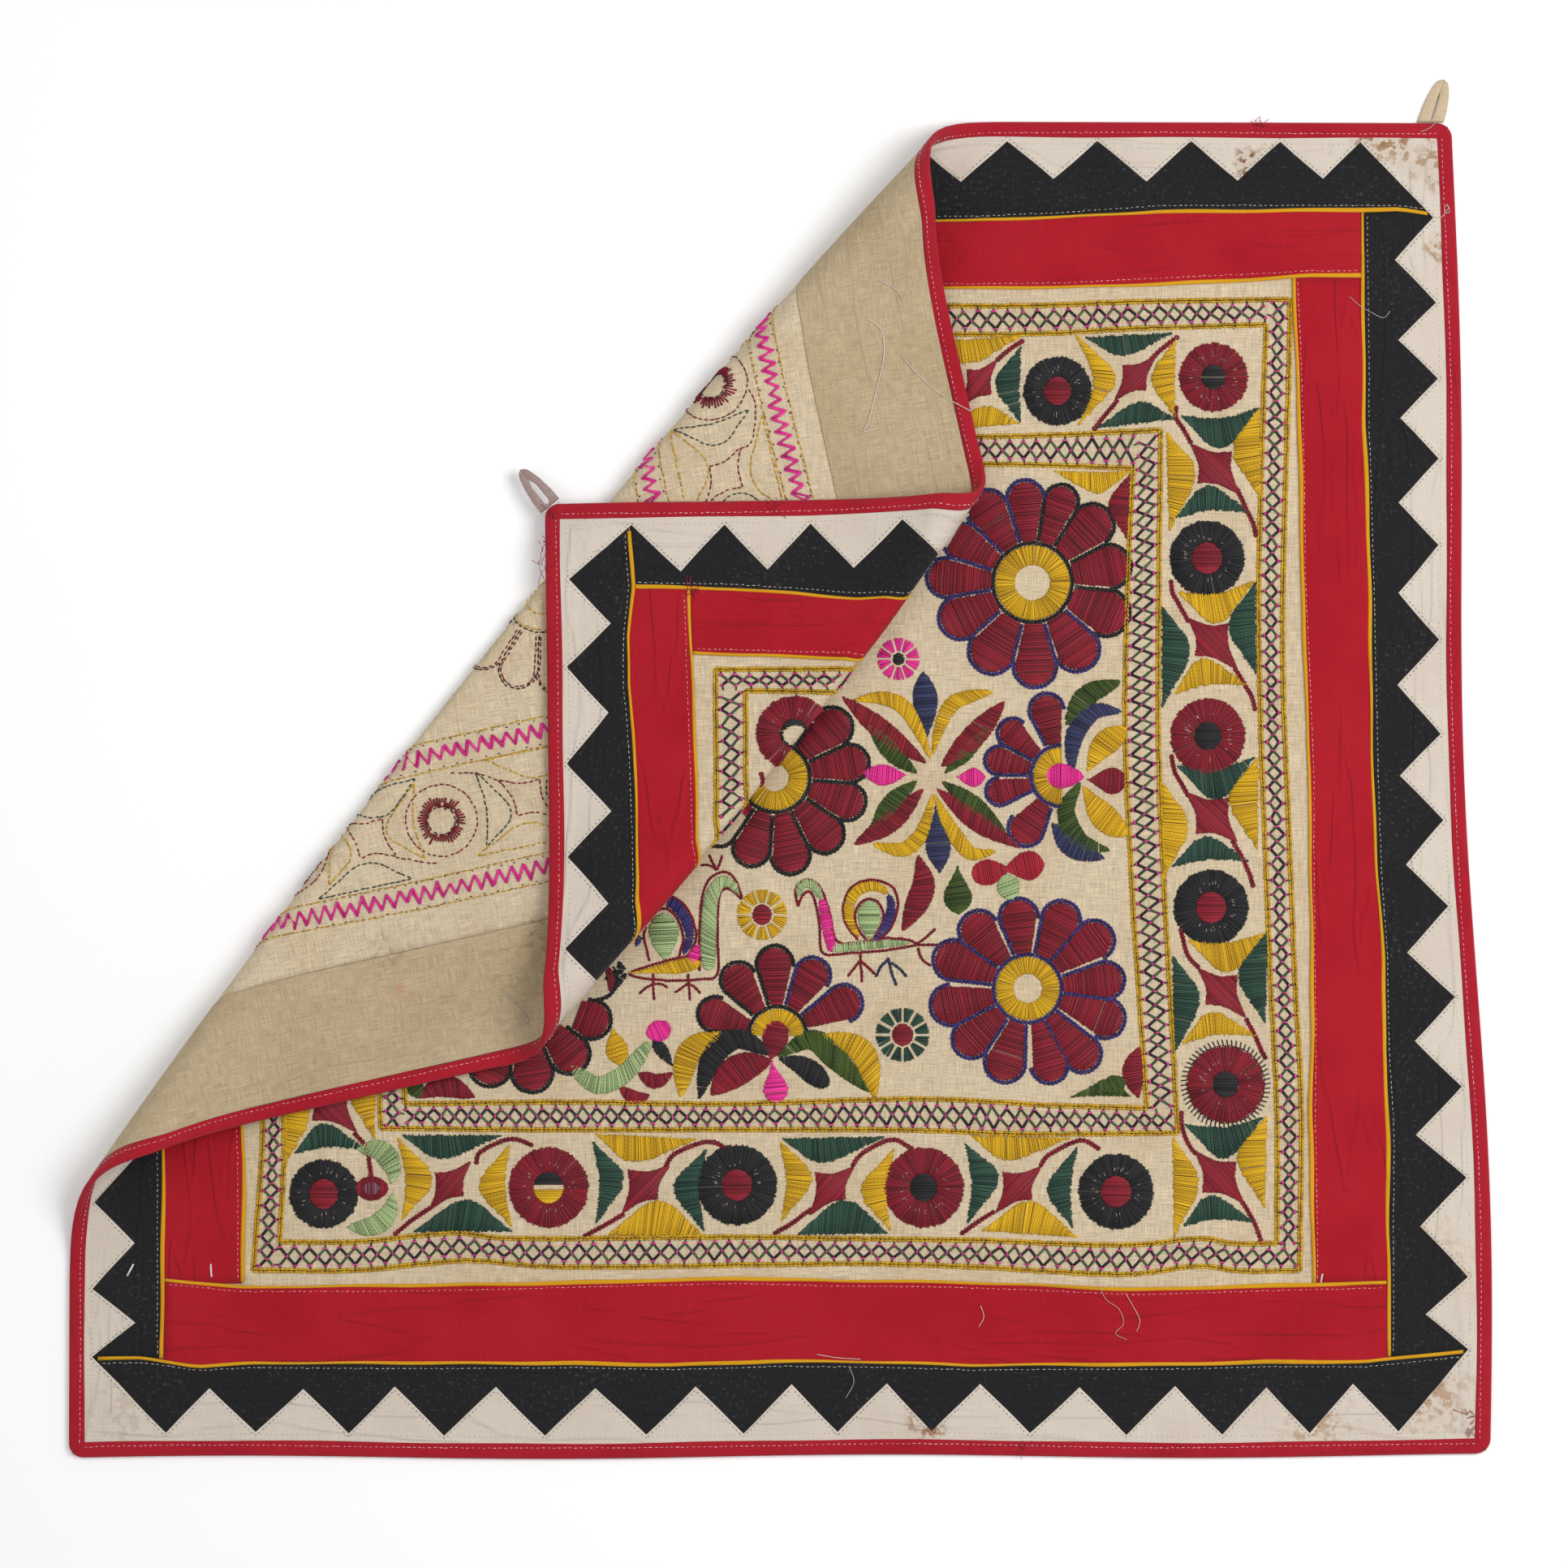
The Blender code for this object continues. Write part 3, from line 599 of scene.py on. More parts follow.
class Graph:
    """Adds and joins the nodes of one material or node group."""

    def __init__(self, tree: bpy.types.NodeTree) -> None:
        """Starts with an existing node tree."""
        self.tree = tree

    def add(self, kind: str, inputs: dict[Any, Any] | None = None, **settings: Any) -> Any:
        """Adds one node.

        Args:
            kind: Blender's name of the node's type.
            inputs: values or sockets for its inputs, by name or number.
            settings: other settings of the node.

        Returns:
            The node.
        """
        node = self.tree.nodes.new(kind)
        for name, value in settings.items():
            setattr(node, name, value)
        self.feed(node, inputs or {})
        return node

    def feed(self, node: Any, inputs: dict[Any, Any]) -> None:
        """Joins a node's inputs to other sockets, or sets their values."""
        for name, value in inputs.items():
            if isinstance(value, bpy.types.NodeSocket):
                self.tree.links.new(value, node.inputs[name])
            else:
                node.inputs[name].default_value = value

    def group(self, tree: bpy.types.NodeTree, **inputs: Any) -> Any:
        """Adds a node group with its inputs."""
        return self.add("ShaderNodeGroup", inputs, node_tree=tree)

    def math(self, operation: str, first: Any, second: Any = 0.0, third: Any = 0.0) -> Any:
        """Adds a calculation with up to three values and gives its result."""
        inputs = {0: first, 1: second, 2: third}
        return self.add("ShaderNodeMath", inputs, operation=operation).outputs[0]

    def mix(self, share: Any, first: Any, second: Any, blend: str = "MIX") -> Any:
        """Gives a mixture of two colours."""
        inputs = {0: share, 6: first, 7: second}
        node = self.add("ShaderNodeMix", inputs, data_type="RGBA", blend_type=blend)
        return node.outputs[2]

    def noise(self, place: Any, scale: float | tuple[float, float, float], detail: float = 2.0) -> Any:
        """Gives a cloudy value between 0 and 1, at one scale or one for each axis."""
        inputs = {0: place, 1: scale if isinstance(scale, tuple) else (scale, scale, scale)}
        stretched = self.add("ShaderNodeVectorMath", inputs, operation="MULTIPLY").outputs[0]
        inputs = {"Vector": stretched, "Scale": 1.0, "Detail": detail}
        return self.add("ShaderNodeTexNoise", inputs).outputs[0]

    def spread(self, value: Any, low: float, high: float, to_low: float, to_high: float) -> Any:
        """Gives a value moved smoothly from one range to another, and held at its ends."""
        inputs = {0: value, 1: low, 2: high, 3: to_low, 4: to_high}
        settings = {"interpolation_type": "SMOOTHSTEP", "clamp": True}
        return self.add("ShaderNodeMapRange", inputs, **settings).outputs[0]

    def bump(self, height: Any, strength: float, distance: float, **under: Any) -> Any:
        """Gives the direction of a surface with a relief, which may lie on another one's Normal."""
        inputs = {"Height": height, "Strength": strength, "Distance": distance, **under}
        return self.add("ShaderNodeBump", inputs).outputs[0]


class Effects:
    """The node groups that more than one finish uses, each made on its first use."""

    @staticmethod
    def start(name: str, inputs: dict[str, Any]) -> tuple[Graph, Sequence[Any]]:
        """Starts a node group; a tuple as an input's default value makes a vector socket."""
        tree = bpy.data.node_groups.new(name, "ShaderNodeTree")
        for label, value in inputs.items():
            kind = "NodeSocketVector" if isinstance(value, tuple) else "NodeSocketFloat"
            socket = tree.interface.new_socket(label, in_out="INPUT", socket_type=kind)
            socket.default_value = value
        graph = Graph(tree)
        return graph, graph.add("NodeGroupInput").outputs[: len(inputs)]

    @staticmethod
    def finish(graph: Graph, outputs: dict[str, Any]) -> bpy.types.NodeTree:
        """Gives a node group its named float outputs."""
        for label in outputs:
            graph.tree.interface.new_socket(label, in_out="OUTPUT", socket_type="NodeSocketFloat")
        graph.add("NodeGroupOutput", outputs)
        return graph.tree

    @classmethod
    @cache
    def weave(cls) -> bpy.types.NodeTree:
        """Gives the plain weave: crossing sine waves with thick and thin places in the yarn."""
        inputs = {"Place": (0.0, 0.0, 0.0), "Threads": 1000.0, "Slubs": 0.5}
        graph, (place, threads, slubs) = cls.start("Weave", inputs)
        wander = graph.noise(place, 60.0)
        parts = graph.add("ShaderNodeSeparateXYZ", {0: place})
        waves = []
        for axis in (0, 1):
            turn = graph.math("MULTIPLY", parts.outputs[axis], threads)
            turn = graph.math("MULTIPLY_ADD", wander, 5.0, turn)
            waves.append(graph.math("SINE", graph.math("MULTIPLY", turn, 2 * math.pi)))
        cross = graph.math("MULTIPLY", *waves)
        weft = graph.noise(place, (90.0, 1400.0, 1.0), 3.0)
        warp = graph.noise(place, (1400.0, 90.0, 1.0), 3.0)
        yarn = graph.math("SUBTRACT", graph.math("ADD", weft, warp), 1.0)
        yarn = graph.math("MULTIPLY", yarn, slubs)
        height = graph.math("MULTIPLY_ADD", cross, 0.5, yarn)
        shade = graph.math("MULTIPLY_ADD", cross, 0.22, yarn)
        beside = graph.math("ADD", *(graph.math("ABSOLUTE", wave) for wave in waves))
        shade = graph.math("SUBTRACT", shade, graph.spread(beside, 0.2, 0.75, 0.5, 0.0))
        return cls.finish(graph, {"Shade": shade, "Height": height})

    @classmethod
    @cache
    def creases(cls) -> bpy.types.NodeTree:
        """Gives creases: long thin ridges along the cloth, and puckers across it.

        A ridge stands where a stretched noise crosses its middle value.
        """
        graph, (place,) = cls.start("Creases", {"Place": (0.0, 0.0, 0.0)})
        height = graph.math("MULTIPLY", graph.noise(place, (26.0, 30.0, 1.0), 3.0), 2.4)
        for scale, wide, share in (((5.0, 38.0, 1.0), 0.035, 0.85), ((34.0, 8.0, 1.0), 0.06, 0.2)):
            apart = graph.math("ABSOLUTE", graph.math("SUBTRACT", graph.noise(place, scale), 0.5))
            ridge = graph.spread(apart, 0.0, wide, 1.0, 0.0)
            height = graph.math("MULTIPLY_ADD", ridge, share, height)
        return cls.finish(graph, {"Height": height})

    @classmethod
    @cache
    def stain(cls) -> bpy.types.NodeTree:
        """Gives a cloudy spot: one inside a ragged radius round a centre, fading to nothing."""
        inputs = {"Place": (0.0, 0.0, 0.0), "Centre": (0.0, 0.0, 0.0), "Radius": 0.02}
        graph, (place, centre, radius) = cls.start("Stain", inputs)
        nodes = {0: place, 1: centre}
        apart = graph.add("ShaderNodeVectorMath", nodes, operation="DISTANCE").outputs["Value"]
        ragged = graph.math("SUBTRACT", graph.noise(place, 70.0, 5.0), 0.5)
        share = graph.math("MULTIPLY_ADD", ragged, 1.6, graph.math("DIVIDE", apart, radius))
        mask = graph.spread(share, 0.35, 1.15, 1.0, 0.0)
        spots = graph.spread(graph.noise(place, 190.0, 4.0), 0.5, 0.58, 0.16, 1.0)
        return cls.finish(graph, {"Mask": graph.math("MULTIPLY", mask, spots)})

    @classmethod
    @cache
    def yarn(cls) -> bpy.types.NodeTree:
        """Gives the twist of a strand: slanting grooves along it, and cloudy wear."""
        inputs = {"Strand": (0.0, 0.0, 0.0), "Place": (0.0, 0.0, 0.0), "Twists": 900.0}
        graph, (strand, place, twists) = cls.start("Yarn", inputs)
        parts = graph.add("ShaderNodeSeparateXYZ", {0: strand})
        turn = graph.math("MULTIPLY_ADD", parts.outputs[1], twists, parts.outputs[0])
        groove = graph.math("SINE", graph.math("MULTIPLY", turn, 2 * math.pi))
        groove = graph.math("MULTIPLY_ADD", groove, 0.5, 0.5)
        return cls.finish(graph, {"Groove": groove, "Wear": graph.noise(place, 45.0, 4.0)})


def start_material(name: str) -> tuple[bpy.types.Material, Graph, Any]:
    """Starts a material, and gives it with the graph of its nodes and its shader."""
    material = bpy.data.materials.new(name)
    material.use_nodes = True
    tree = material.node_tree
    return material, Graph(tree), tree.nodes["Principled BSDF"]


@dataclass(frozen=True)
class Spoil:
    """A stain or worn spot: where it lies in metres, its radius, its strength and colour."""

    centre: Spot
    radius: float
    strength: float
    colour: Colour


@dataclass(frozen=True)
class ClothFinish:
    """The look of a woven cloth.

    Args:
        name: the finish's name.
        colour: its colour in good light.
        aged: the colour that it has in cloudy patches.
        threads: threads for each metre.
        slubs: how uneven the yarn is.
        contrast: how far light and dark threads differ.
        relief: height of the weave in metres.
        sheen: strength of the nap's sheen.
        flecks: share of small pale flecks, a painted sheen highlight, thicker in cloudy patches.
        painted_sheen_colour: their colour.
        spoils: its stains.
        creased: height of its creases in metres.
    """

    name: str
    colour: Colour
    aged: Colour
    threads: float
    slubs: float
    contrast: float
    relief: float
    sheen: float = 0.1
    flecks: float = 0.0
    painted_sheen_colour: Colour = (150, 150, 150)
    spoils: tuple[Spoil, ...] = ()
    creased: float = 0.0004

    @cache
    def material(self) -> bpy.types.Material:
        """Gives the finish's material, made on its first use."""
        material, graph, shader = start_material(self.name)
        where = graph.add("ShaderNodeTexCoord")
        flat, place = where.outputs["UV"], where.outputs["Object"]
        weave = graph.group(Effects.weave(), Place=flat, Threads=self.threads, Slubs=self.slubs)
        cloudy = graph.noise(flat, 17.0, 5.0)
        patch = graph.spread(cloudy, 0.42, 0.72, 0.0, 0.5)
        colour = graph.mix(patch, linear(self.colour), linear(self.aged))
        light = graph.math("MULTIPLY", weave.outputs["Shade"], self.contrast)
        fine = graph.math("SUBTRACT", graph.noise(flat, 900.0), 0.5)
        light = graph.math("ADD", graph.math("MULTIPLY_ADD", fine, 0.25, light), 1.0)
        grey = graph.add("ShaderNodeCombineXYZ", {0: light, 1: light, 2: light})
        colour = graph.mix(1.0, colour, grey.outputs[0], "MULTIPLY")
        # Painted highlight: pale flecks, thicker in the cloudy patches, stand in for the sheen on the black
        # nap.
        if self.flecks:
            dots = graph.noise(flat, 420.0, 4.0)
            share = graph.spread(dots, 0.62 - 0.1 * self.flecks, 0.78, 0.0, 1.0)
            share = graph.math("MULTIPLY", share, graph.spread(cloudy, 0.35, 0.65, 0.2, 1.0))
            colour = graph.mix(share, colour, linear(self.painted_sheen_colour))
        for spoil in self.spoils:
            centre = (*spoil.centre, STAIN_HEIGHT)
            stain = graph.group(Effects.stain(), Place=place, Centre=centre, Radius=spoil.radius)
            share = graph.math("MULTIPLY", stain.outputs["Mask"], spoil.strength)
            colour = graph.mix(share, colour, linear(spoil.colour))
        creases = graph.group(Effects.creases(), Place=flat)
        soft = graph.bump(creases.outputs["Height"], 1.0, self.creased)
        values = {
            "Base Color": colour,
            "Roughness": graph.spread(cloudy, 0.3, 0.7, 0.86, 0.96),
            "Sheen Weight": self.sheen,
            "Sheen Roughness": 0.5,
            "Specular IOR Level": 0.25,
            "Normal": graph.bump(weave.outputs["Height"], 0.6, self.relief, Normal=soft),
        }
        graph.feed(shader, values)
        return material


@dataclass(frozen=True)
class ThreadFinish:
    """The look of a thread: its two shades, its twists for each metre, and its shine."""

    name: str
    dark: Colour
    light: Colour
    twists: float = 420.0
    roughness: float = 0.62
    sheen: float = 0.04

    @cache
    def material(self) -> bpy.types.Material:
        """Gives the finish's material, made on its first use."""
        material, graph, shader = start_material(self.name)
        where = graph.add("ShaderNodeTexCoord").outputs
        tone = graph.add("ShaderNodeAttribute", attribute_name="tone").outputs["Fac"]
        yarn = graph.group(
            Effects.yarn(), Strand=where["UV"], Place=where["Object"], Twists=self.twists
        ).outputs
        share = graph.math("MULTIPLY_ADD", yarn["Wear"], 0.6, graph.math("MULTIPLY", tone, 0.7))
        share = graph.math("MULTIPLY_ADD", yarn["Groove"], 0.3, share)
        share = graph.spread(share, 0.2, 1.3, 0.0, 1.0)
        low, high = self.roughness - 0.06, self.roughness + 0.08
        values = {
            "Base Color": graph.mix(share, linear(self.dark), linear(self.light)),
            "Roughness": graph.spread(yarn["Wear"], 0.3, 0.7, low, high),
            "Sheen Weight": self.sheen,
            "Specular IOR Level": 0.35,
            "Normal": graph.bump(yarn["Groove"], 0.5, 0.0001),
        }
        graph.feed(shader, values)
        return material


GROUND_STAINS = (
    Spoil((0.233, 0.344), 0.020, 0.55, (110, 80, 45)),
    Spoil((0.115, 0.19), 0.012, 0.5, (150, 130, 110)),
    Spoil((-0.16, -0.12), 0.03, 0.3, (150, 120, 75)),
    Spoil((-0.235, -0.135), 0.012, 0.6, (200, 110, 120)),
    Spoil((-0.15, -0.10), 0.014, 0.4, (110, 80, 40)),
    Spoil((-0.24, -0.112), 0.016, 0.35, (120, 90, 50)),
)
WHITE_STAINS = (
    Spoil((0.374, 0.398), 0.030, 0.9, (140, 98, 48)),
    Spoil((0.402, 0.372), 0.022, 0.7, (146, 106, 58)),
    Spoil((0.408, 0.322), 0.014, 0.7, (150, 112, 62)),
    Spoil((0.292, 0.372), 0.016, 0.95, (118, 72, 30)),
    Spoil((0.405, -0.30), 0.03, 0.3, (166, 122, 72)),
    Spoil((0.40, -0.385), 0.026, 0.6, (156, 108, 56)),
    Spoil((0.33, -0.404), 0.026, 0.5, (160, 112, 60)),
    Spoil((0.09, -0.404), 0.014, 0.85, (138, 90, 44)),
    Spoil((-0.40, -0.39), 0.03, 0.25, (150, 120, 90)),
)


class Cloths:
    """The finishes of the cloths."""

    GROUND = ClothFinish(
        "undyed ground weave", (204, 186, 157), (190, 167, 134), threads=780.0, slubs=1.5,
        contrast=0.6, relief=0.00025, sheen=0.04, spoils=GROUND_STAINS, creased=0.0003,
    )
    LINING = ClothFinish(
        "lining weave", (183, 163, 131), (168, 146, 112), threads=900.0, slubs=1.4,
        contrast=0.55, relief=0.0002, sheen=0.04, spoils=GROUND_STAINS[2:], creased=0.0005,
    )
    RED = ClothFinish(
        "red cotton weave", (166, 17, 33), (150, 13, 28), threads=1700.0, slubs=0.9,
        contrast=0.3, relief=0.00008, sheen=0.05, creased=0.0009,
    )
    BLACK = ClothFinish(
        "black cotton weave", (25, 25, 27), (36, 36, 38), threads=1500.0, slubs=1.0,
        contrast=0.5, relief=0.0001, sheen=0.06, flecks=0.7, painted_sheen_colour=(72, 73, 78),
        creased=0.0009,
    )
    WHITE = ClothFinish(
        "white cotton weave", (206, 195, 182), (197, 181, 167), threads=1700.0, slubs=0.9,
        contrast=0.16, relief=0.00006, sheen=0.04, spoils=WHITE_STAINS, creased=0.0007,
    )
    PIPING = ClothFinish(
        "yellow piping weave", (208, 152, 14), (190, 134, 10), threads=2000.0, slubs=0.6,
        contrast=0.2, relief=0.00005,
    )
    BINDING = ClothFinish(
        "crimson binding weave", (164, 20, 38), (148, 16, 32), threads=1700.0, slubs=1.0,
        contrast=0.3, relief=0.0001, creased=0.0006,
    )
    STRIPED = ClothFinish(
        "striped tape weave", (158, 136, 130), (120, 128, 116), threads=1500.0, slubs=1.4,
        contrast=0.6, relief=0.00014,
    )
    BEIGE = ClothFinish(
        "beige tape weave", (196, 176, 146), (176, 152, 120), threads=1500.0, slubs=1.2,
        contrast=0.4, relief=0.00014,
    )


class Threads:
    """The finishes of the threads."""

    MAROON = ThreadFinish("maroon_thread", (98, 10, 26), (152, 26, 46))
    CRIMSON = ThreadFinish("crimson_thread", (128, 12, 34), (184, 32, 54))
    YELLOW = ThreadFinish("yellow_thread", (176, 134, 6), (226, 184, 24))
    GREEN = ThreadFinish("green_thread", (20, 50, 40), (52, 86, 70))
    OLIVE = ThreadFinish("olive_thread", (32, 50, 12), (76, 96, 34))
    SAGE = ThreadFinish("sage_thread", (122, 142, 92), (184, 202, 148))
    NAVY = ThreadFinish("navy_thread", (30, 32, 62), (62, 66, 104))
    VIOLET = ThreadFinish("violet_thread", (34, 26, 78), (72, 60, 130))
    MAGENTA = ThreadFinish("magenta_thread", (196, 18, 120), (240, 62, 164))
    BLACK = ThreadFinish("black_thread", (12, 12, 14), (44, 42, 46))
    WHITE = ThreadFinish("white_thread", (186, 176, 166), (240, 236, 230))
    PINK = ThreadFinish("pink_thread", (206, 130, 140), (248, 214, 216))
    GOLD = ThreadFinish("gold_thread", (164, 122, 6), (218, 174, 22))
    DARK_OLIVE = ThreadFinish("dark_olive_thread", (36, 62, 36), (78, 104, 62))
    BLUE = ThreadFinish("grey_blue_thread", (70, 88, 106), (122, 142, 160))
    PALE = ThreadFinish("pale_fibre", (150, 130, 118), (214, 200, 190))
    # Dark dashes of painted shade, where needle holes show only shade.
    SHADOW = ThreadFinish("needle_hole_shade", (70, 52, 44), (120, 98, 84))


def new_piece(
    name: str,
    points: Array,
    quads: Array,
    triangles: Array | None = None,
    flat: Array | None = None,
    tone: Array | None = None,
) -> bpy.types.Object:
    """Makes a smooth mesh object from arrays.

    Args:
        name: the piece's name.
        points: (n, 3) points in metres.
        quads: (m, 4) corners of the four-sided faces.
        triangles: (k, 3) corners of the three-sided faces.
        flat: (n, 2) place of each point in the UV map.
        tone: (n,) values of the attribute that varies a thread's shade.

    Returns:
        The new object.
    """
    triangles = np.zeros((0, 3), int) if triangles is None else triangles
    corners = np.concatenate([quads.ravel(), triangles.ravel()]).astype(np.int32)
    starts = np.concatenate(
        [np.arange(len(quads)) * 4, quads.size + np.arange(len(triangles)) * 3]
    )
    mesh = bpy.data.meshes.new(name)
    mesh.vertices.add(len(points))
    mesh.vertices.foreach_set("co", points.astype(np.float32).ravel())
    mesh.loops.add(len(corners))
    mesh.loops.foreach_set("vertex_index", corners)
    mesh.polygons.add(len(starts))
    mesh.polygons.foreach_set("loop_start", starts.astype(np.int32))
    mesh.update(calc_edges=True)
    mesh.polygons.foreach_set("use_smooth", np.ones(len(starts), dtype=bool))
    if flat is not None:
        layer = mesh.uv_layers.new(name="Cloth")
        layer.data.foreach_set("uv", flat[corners].astype(np.float32).ravel())
    if tone is not None:
        attribute = mesh.attributes.new("tone", "FLOAT", "POINT")
        attribute.data.foreach_set("value", tone.astype(np.float32))
    mesh.validate()
    piece = bpy.data.objects.new(name, mesh)
    bpy.context.scene.collection.objects.link(piece)
    return piece


def dress(
    piece: bpy.types.Object,
    finish: ClothFinish | ThreadFinish,
    nodes: Iterable[str] = (),
) -> bpy.types.Object:
    """Gives a piece its finish and its body, and hides the solids that it stands for."""
    piece.data.materials.append(finish.material())
    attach(piece, "root")
    if nodes:
        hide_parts(*nodes)
    triangles = sum(len(face.vertices) - 2 for face in piece.data.polygons)
    LOG.info("%s: %d triangles", piece.name, triangles)
    return piece


def grid_quads(rows: int, columns: int) -> Array:
    """Gives the faces of a grid of points, counted row by row."""
    first = (np.arange(rows - 1)[:, None] * columns + np.arange(columns - 1)).reshape(-1, 1)
    return first + np.array([0, 1, columns + 1, columns])


def closed_sheet(top: Array, under: Array) -> tuple[Array, Array]:
    """Closes two grids of points into one thin sheet with a rim.

    Args:
        top: (rows, columns, 3) points of the upper face.
        under: the same of the lower face.

    Returns:
        All points and the faces.
    """
    rows, columns = top.shape[:2]
    count = rows * columns
    index = np.arange(count).reshape(rows, columns)
    edge = np.concatenate([index[0], index[1:, -1], index[-1, -2::-1], index[-2:0:-1, 0]])
    following = np.roll(edge, -1)
    faces = grid_quads(rows, columns)
    rim = np.stack([edge, edge + count, following + count, following], axis=1)
    quads = np.vstack([faces, faces[:, ::-1] + count, rim])
    return np.vstack([top.reshape(-1, 3), under.reshape(-1, 3)]), quads


def uneven_steps(low: float, high: float, ranges: Sequence[tuple[float, float]], step: float) -> Array:
    """Gives places from low to high, close together in a range and wider apart outside it.

    Args:
        low: first place.
        high: last place.
        ranges: the stretches that need close steps.
        step: the close step; the wide one is WIDER times as long.

    Returns:
        The places in order.
    """
    places = [low]
    cuts = sorted({low, high, *[min(max(cut, low), high) for pair in ranges for cut in pair]})
    for start, end in zip(cuts, cuts[1:]):
        middle = (start + end) / 2
        close = any(first <= middle <= last for first, last in ranges)
        count = max(1, round((end - start) / (step if close else WIDER * step)))
        places += np.linspace(start, end, count + 1)[1:].tolist()
    return np.array(places)


def edged_shares(width: float, step: float) -> Array:
    """Gives shares across a strip: even steps, with two narrow ones at both edges."""
    count = max(2, round((width - 3.0) / step))
    inner = np.linspace(1.5, width - 1.5, count + 1)
    return np.concatenate([[0.0, 0.5], inner, [width - 0.5, width]]) / width


@dataclass(frozen=True)
class Strip:
    """A straight strip of one side: cloth between two depths, from one end to the other.

    Args:
        side: the side that it lies on.
        start: where it starts along the side in mm.
        end: where it ends.
        near: depth of its outer edge, or a usual one where it is uneven.
        far: the same of its inner edge.
        low: height of its lower face over the cloth's back.
        high: height of its upper face.
        puff: how far its middle stands up between its seams.
        seed: number that sets its own unevenness.
    """

    side: Side
    start: float
    end: float
    near: float
    far: float
    low: float
    high: float
    puff: float = 0.25
    seed: int = 0

    def steps(self, step: float = 3.4) -> Array:
        """Gives the places along the strip, closer where it goes through a fold."""
        bends = {Side.LEFT: [(0.0, 660.0)], Side.TOP: [(330.0, 862.0)]}
        return uneven_steps(self.start, self.end, bends.get(self.side, []), step)

    def build(
        self,
        name: str,
        near: Depths | None = None,
        far: Depths | None = None,
        step: float = 3.4,
        marks: ArrayLike = (),
    ) -> bpy.types.Object:
        """Makes the strip as a thin closed sheet.

        The upper face is a grid over (place along, share across); it drops at the edges
        by a square curve and puffs up in the middle by a parabola.

        Args:
            name: the piece's name.
            near: depths of the outer edge at places, if it isn't straight.
            far: depths of the inner edge at places, if it isn't straight.
            step: spacing of the grid in mm.
            marks: places along the strip where the grid has a line of its own.

        Returns:
            The object.
        """
        along = self.steps(step)
        marks = np.asarray(marks, dtype=float)
        if len(marks):
            marks = marks[(marks > along[0] + 0.8) & (marks < along[-1] - 0.8)]
            marks = marks[np.append(True, np.diff(marks) > 0.05)]
            clear = np.abs(along[:, None] - marks).min(axis=1) > 0.8
            along = np.sort(np.concatenate([along[clear], marks]))
        first = np.full_like(along, self.near) if near is None else near(along)
        last = np.full_like(along, self.far) if far is None else far(along)
        wide = float((last - first).max())
        coarse = 1.0 if self.side in (Side.LEFT, Side.TOP) else 1.9
        share = edged_shares(wide, step * coarse)[:, None]
        depth = first + (last - first) * share
        place = np.broadcast_to(along, depth.shape)
        flat = CLOTH.on_side(self.side, place, depth)
        from_edge = np.minimum(share, 1 - share) * (last - first)
        from_end = np.minimum(place - self.start, self.end - place)
        rounded = np.clip(np.minimum(from_edge, from_end), 0, 1)
        drop = (self.high - self.low) * 0.55 * (1 - rounded) ** 2
        lift = self.puff * 4 * share * (1 - share) * (0.6 + 0.4 * ripple(flat, 60, self.seed))
        lift = lift + 0.10 * self.puff * ripple(flat, 9, self.seed + 7)
        top = CLOTH.fold(flat, self.high - drop + np.maximum(lift, 0))
        under = CLOTH.fold(flat, np.full(depth.shape, self.low))
        points, quads = closed_sheet(top, under)
        uv = np.stack([place, depth], axis=-1).reshape(-1, 2) * MM
        return new_piece(name, points, quads, flat=np.vstack([uv, uv]))


def strip_ends(
    side: Side, outer: str | float, inner: str | float, span: tuple[float, float], under: float = 0.0
) -> Spot:
    """Gives where a strip starts and ends along its side, as its corners run on or butt.

    Args:
        side: the side that the strip lies on.
        outer: where it ends when it runs on: a depth, or the name of a band's edge.
        inner: where it ends when it butts.
        span: the depths that the strip covers.
        under: how far its ends reach under the neighbour's piping.

    Returns:
        Both places in mm.
    """
    first, last = side.neighbours()
    starts_on, ends_on = BANDS[side].runs_on
    places = np.linspace(span[0], span[1], 20)
    start = depth_at(first, outer if starts_on else inner, CLOTH.length(first) - places)
    end = depth_at(last, outer if ends_on else inner, places)
    return start + GAP - under, CLOTH.length(side) - end - GAP + under


def depth_at(side: Side, ring: str | float, along: Array) -> float:
    """Gives the least depth of a ring, even or the edge of a band, at places of a side."""
    if isinstance(ring, float):
        return ring
    if ring == "joined":
        return BANDS[side].joined
    return float(np.min(BANDS[side].edge(ring, along)))


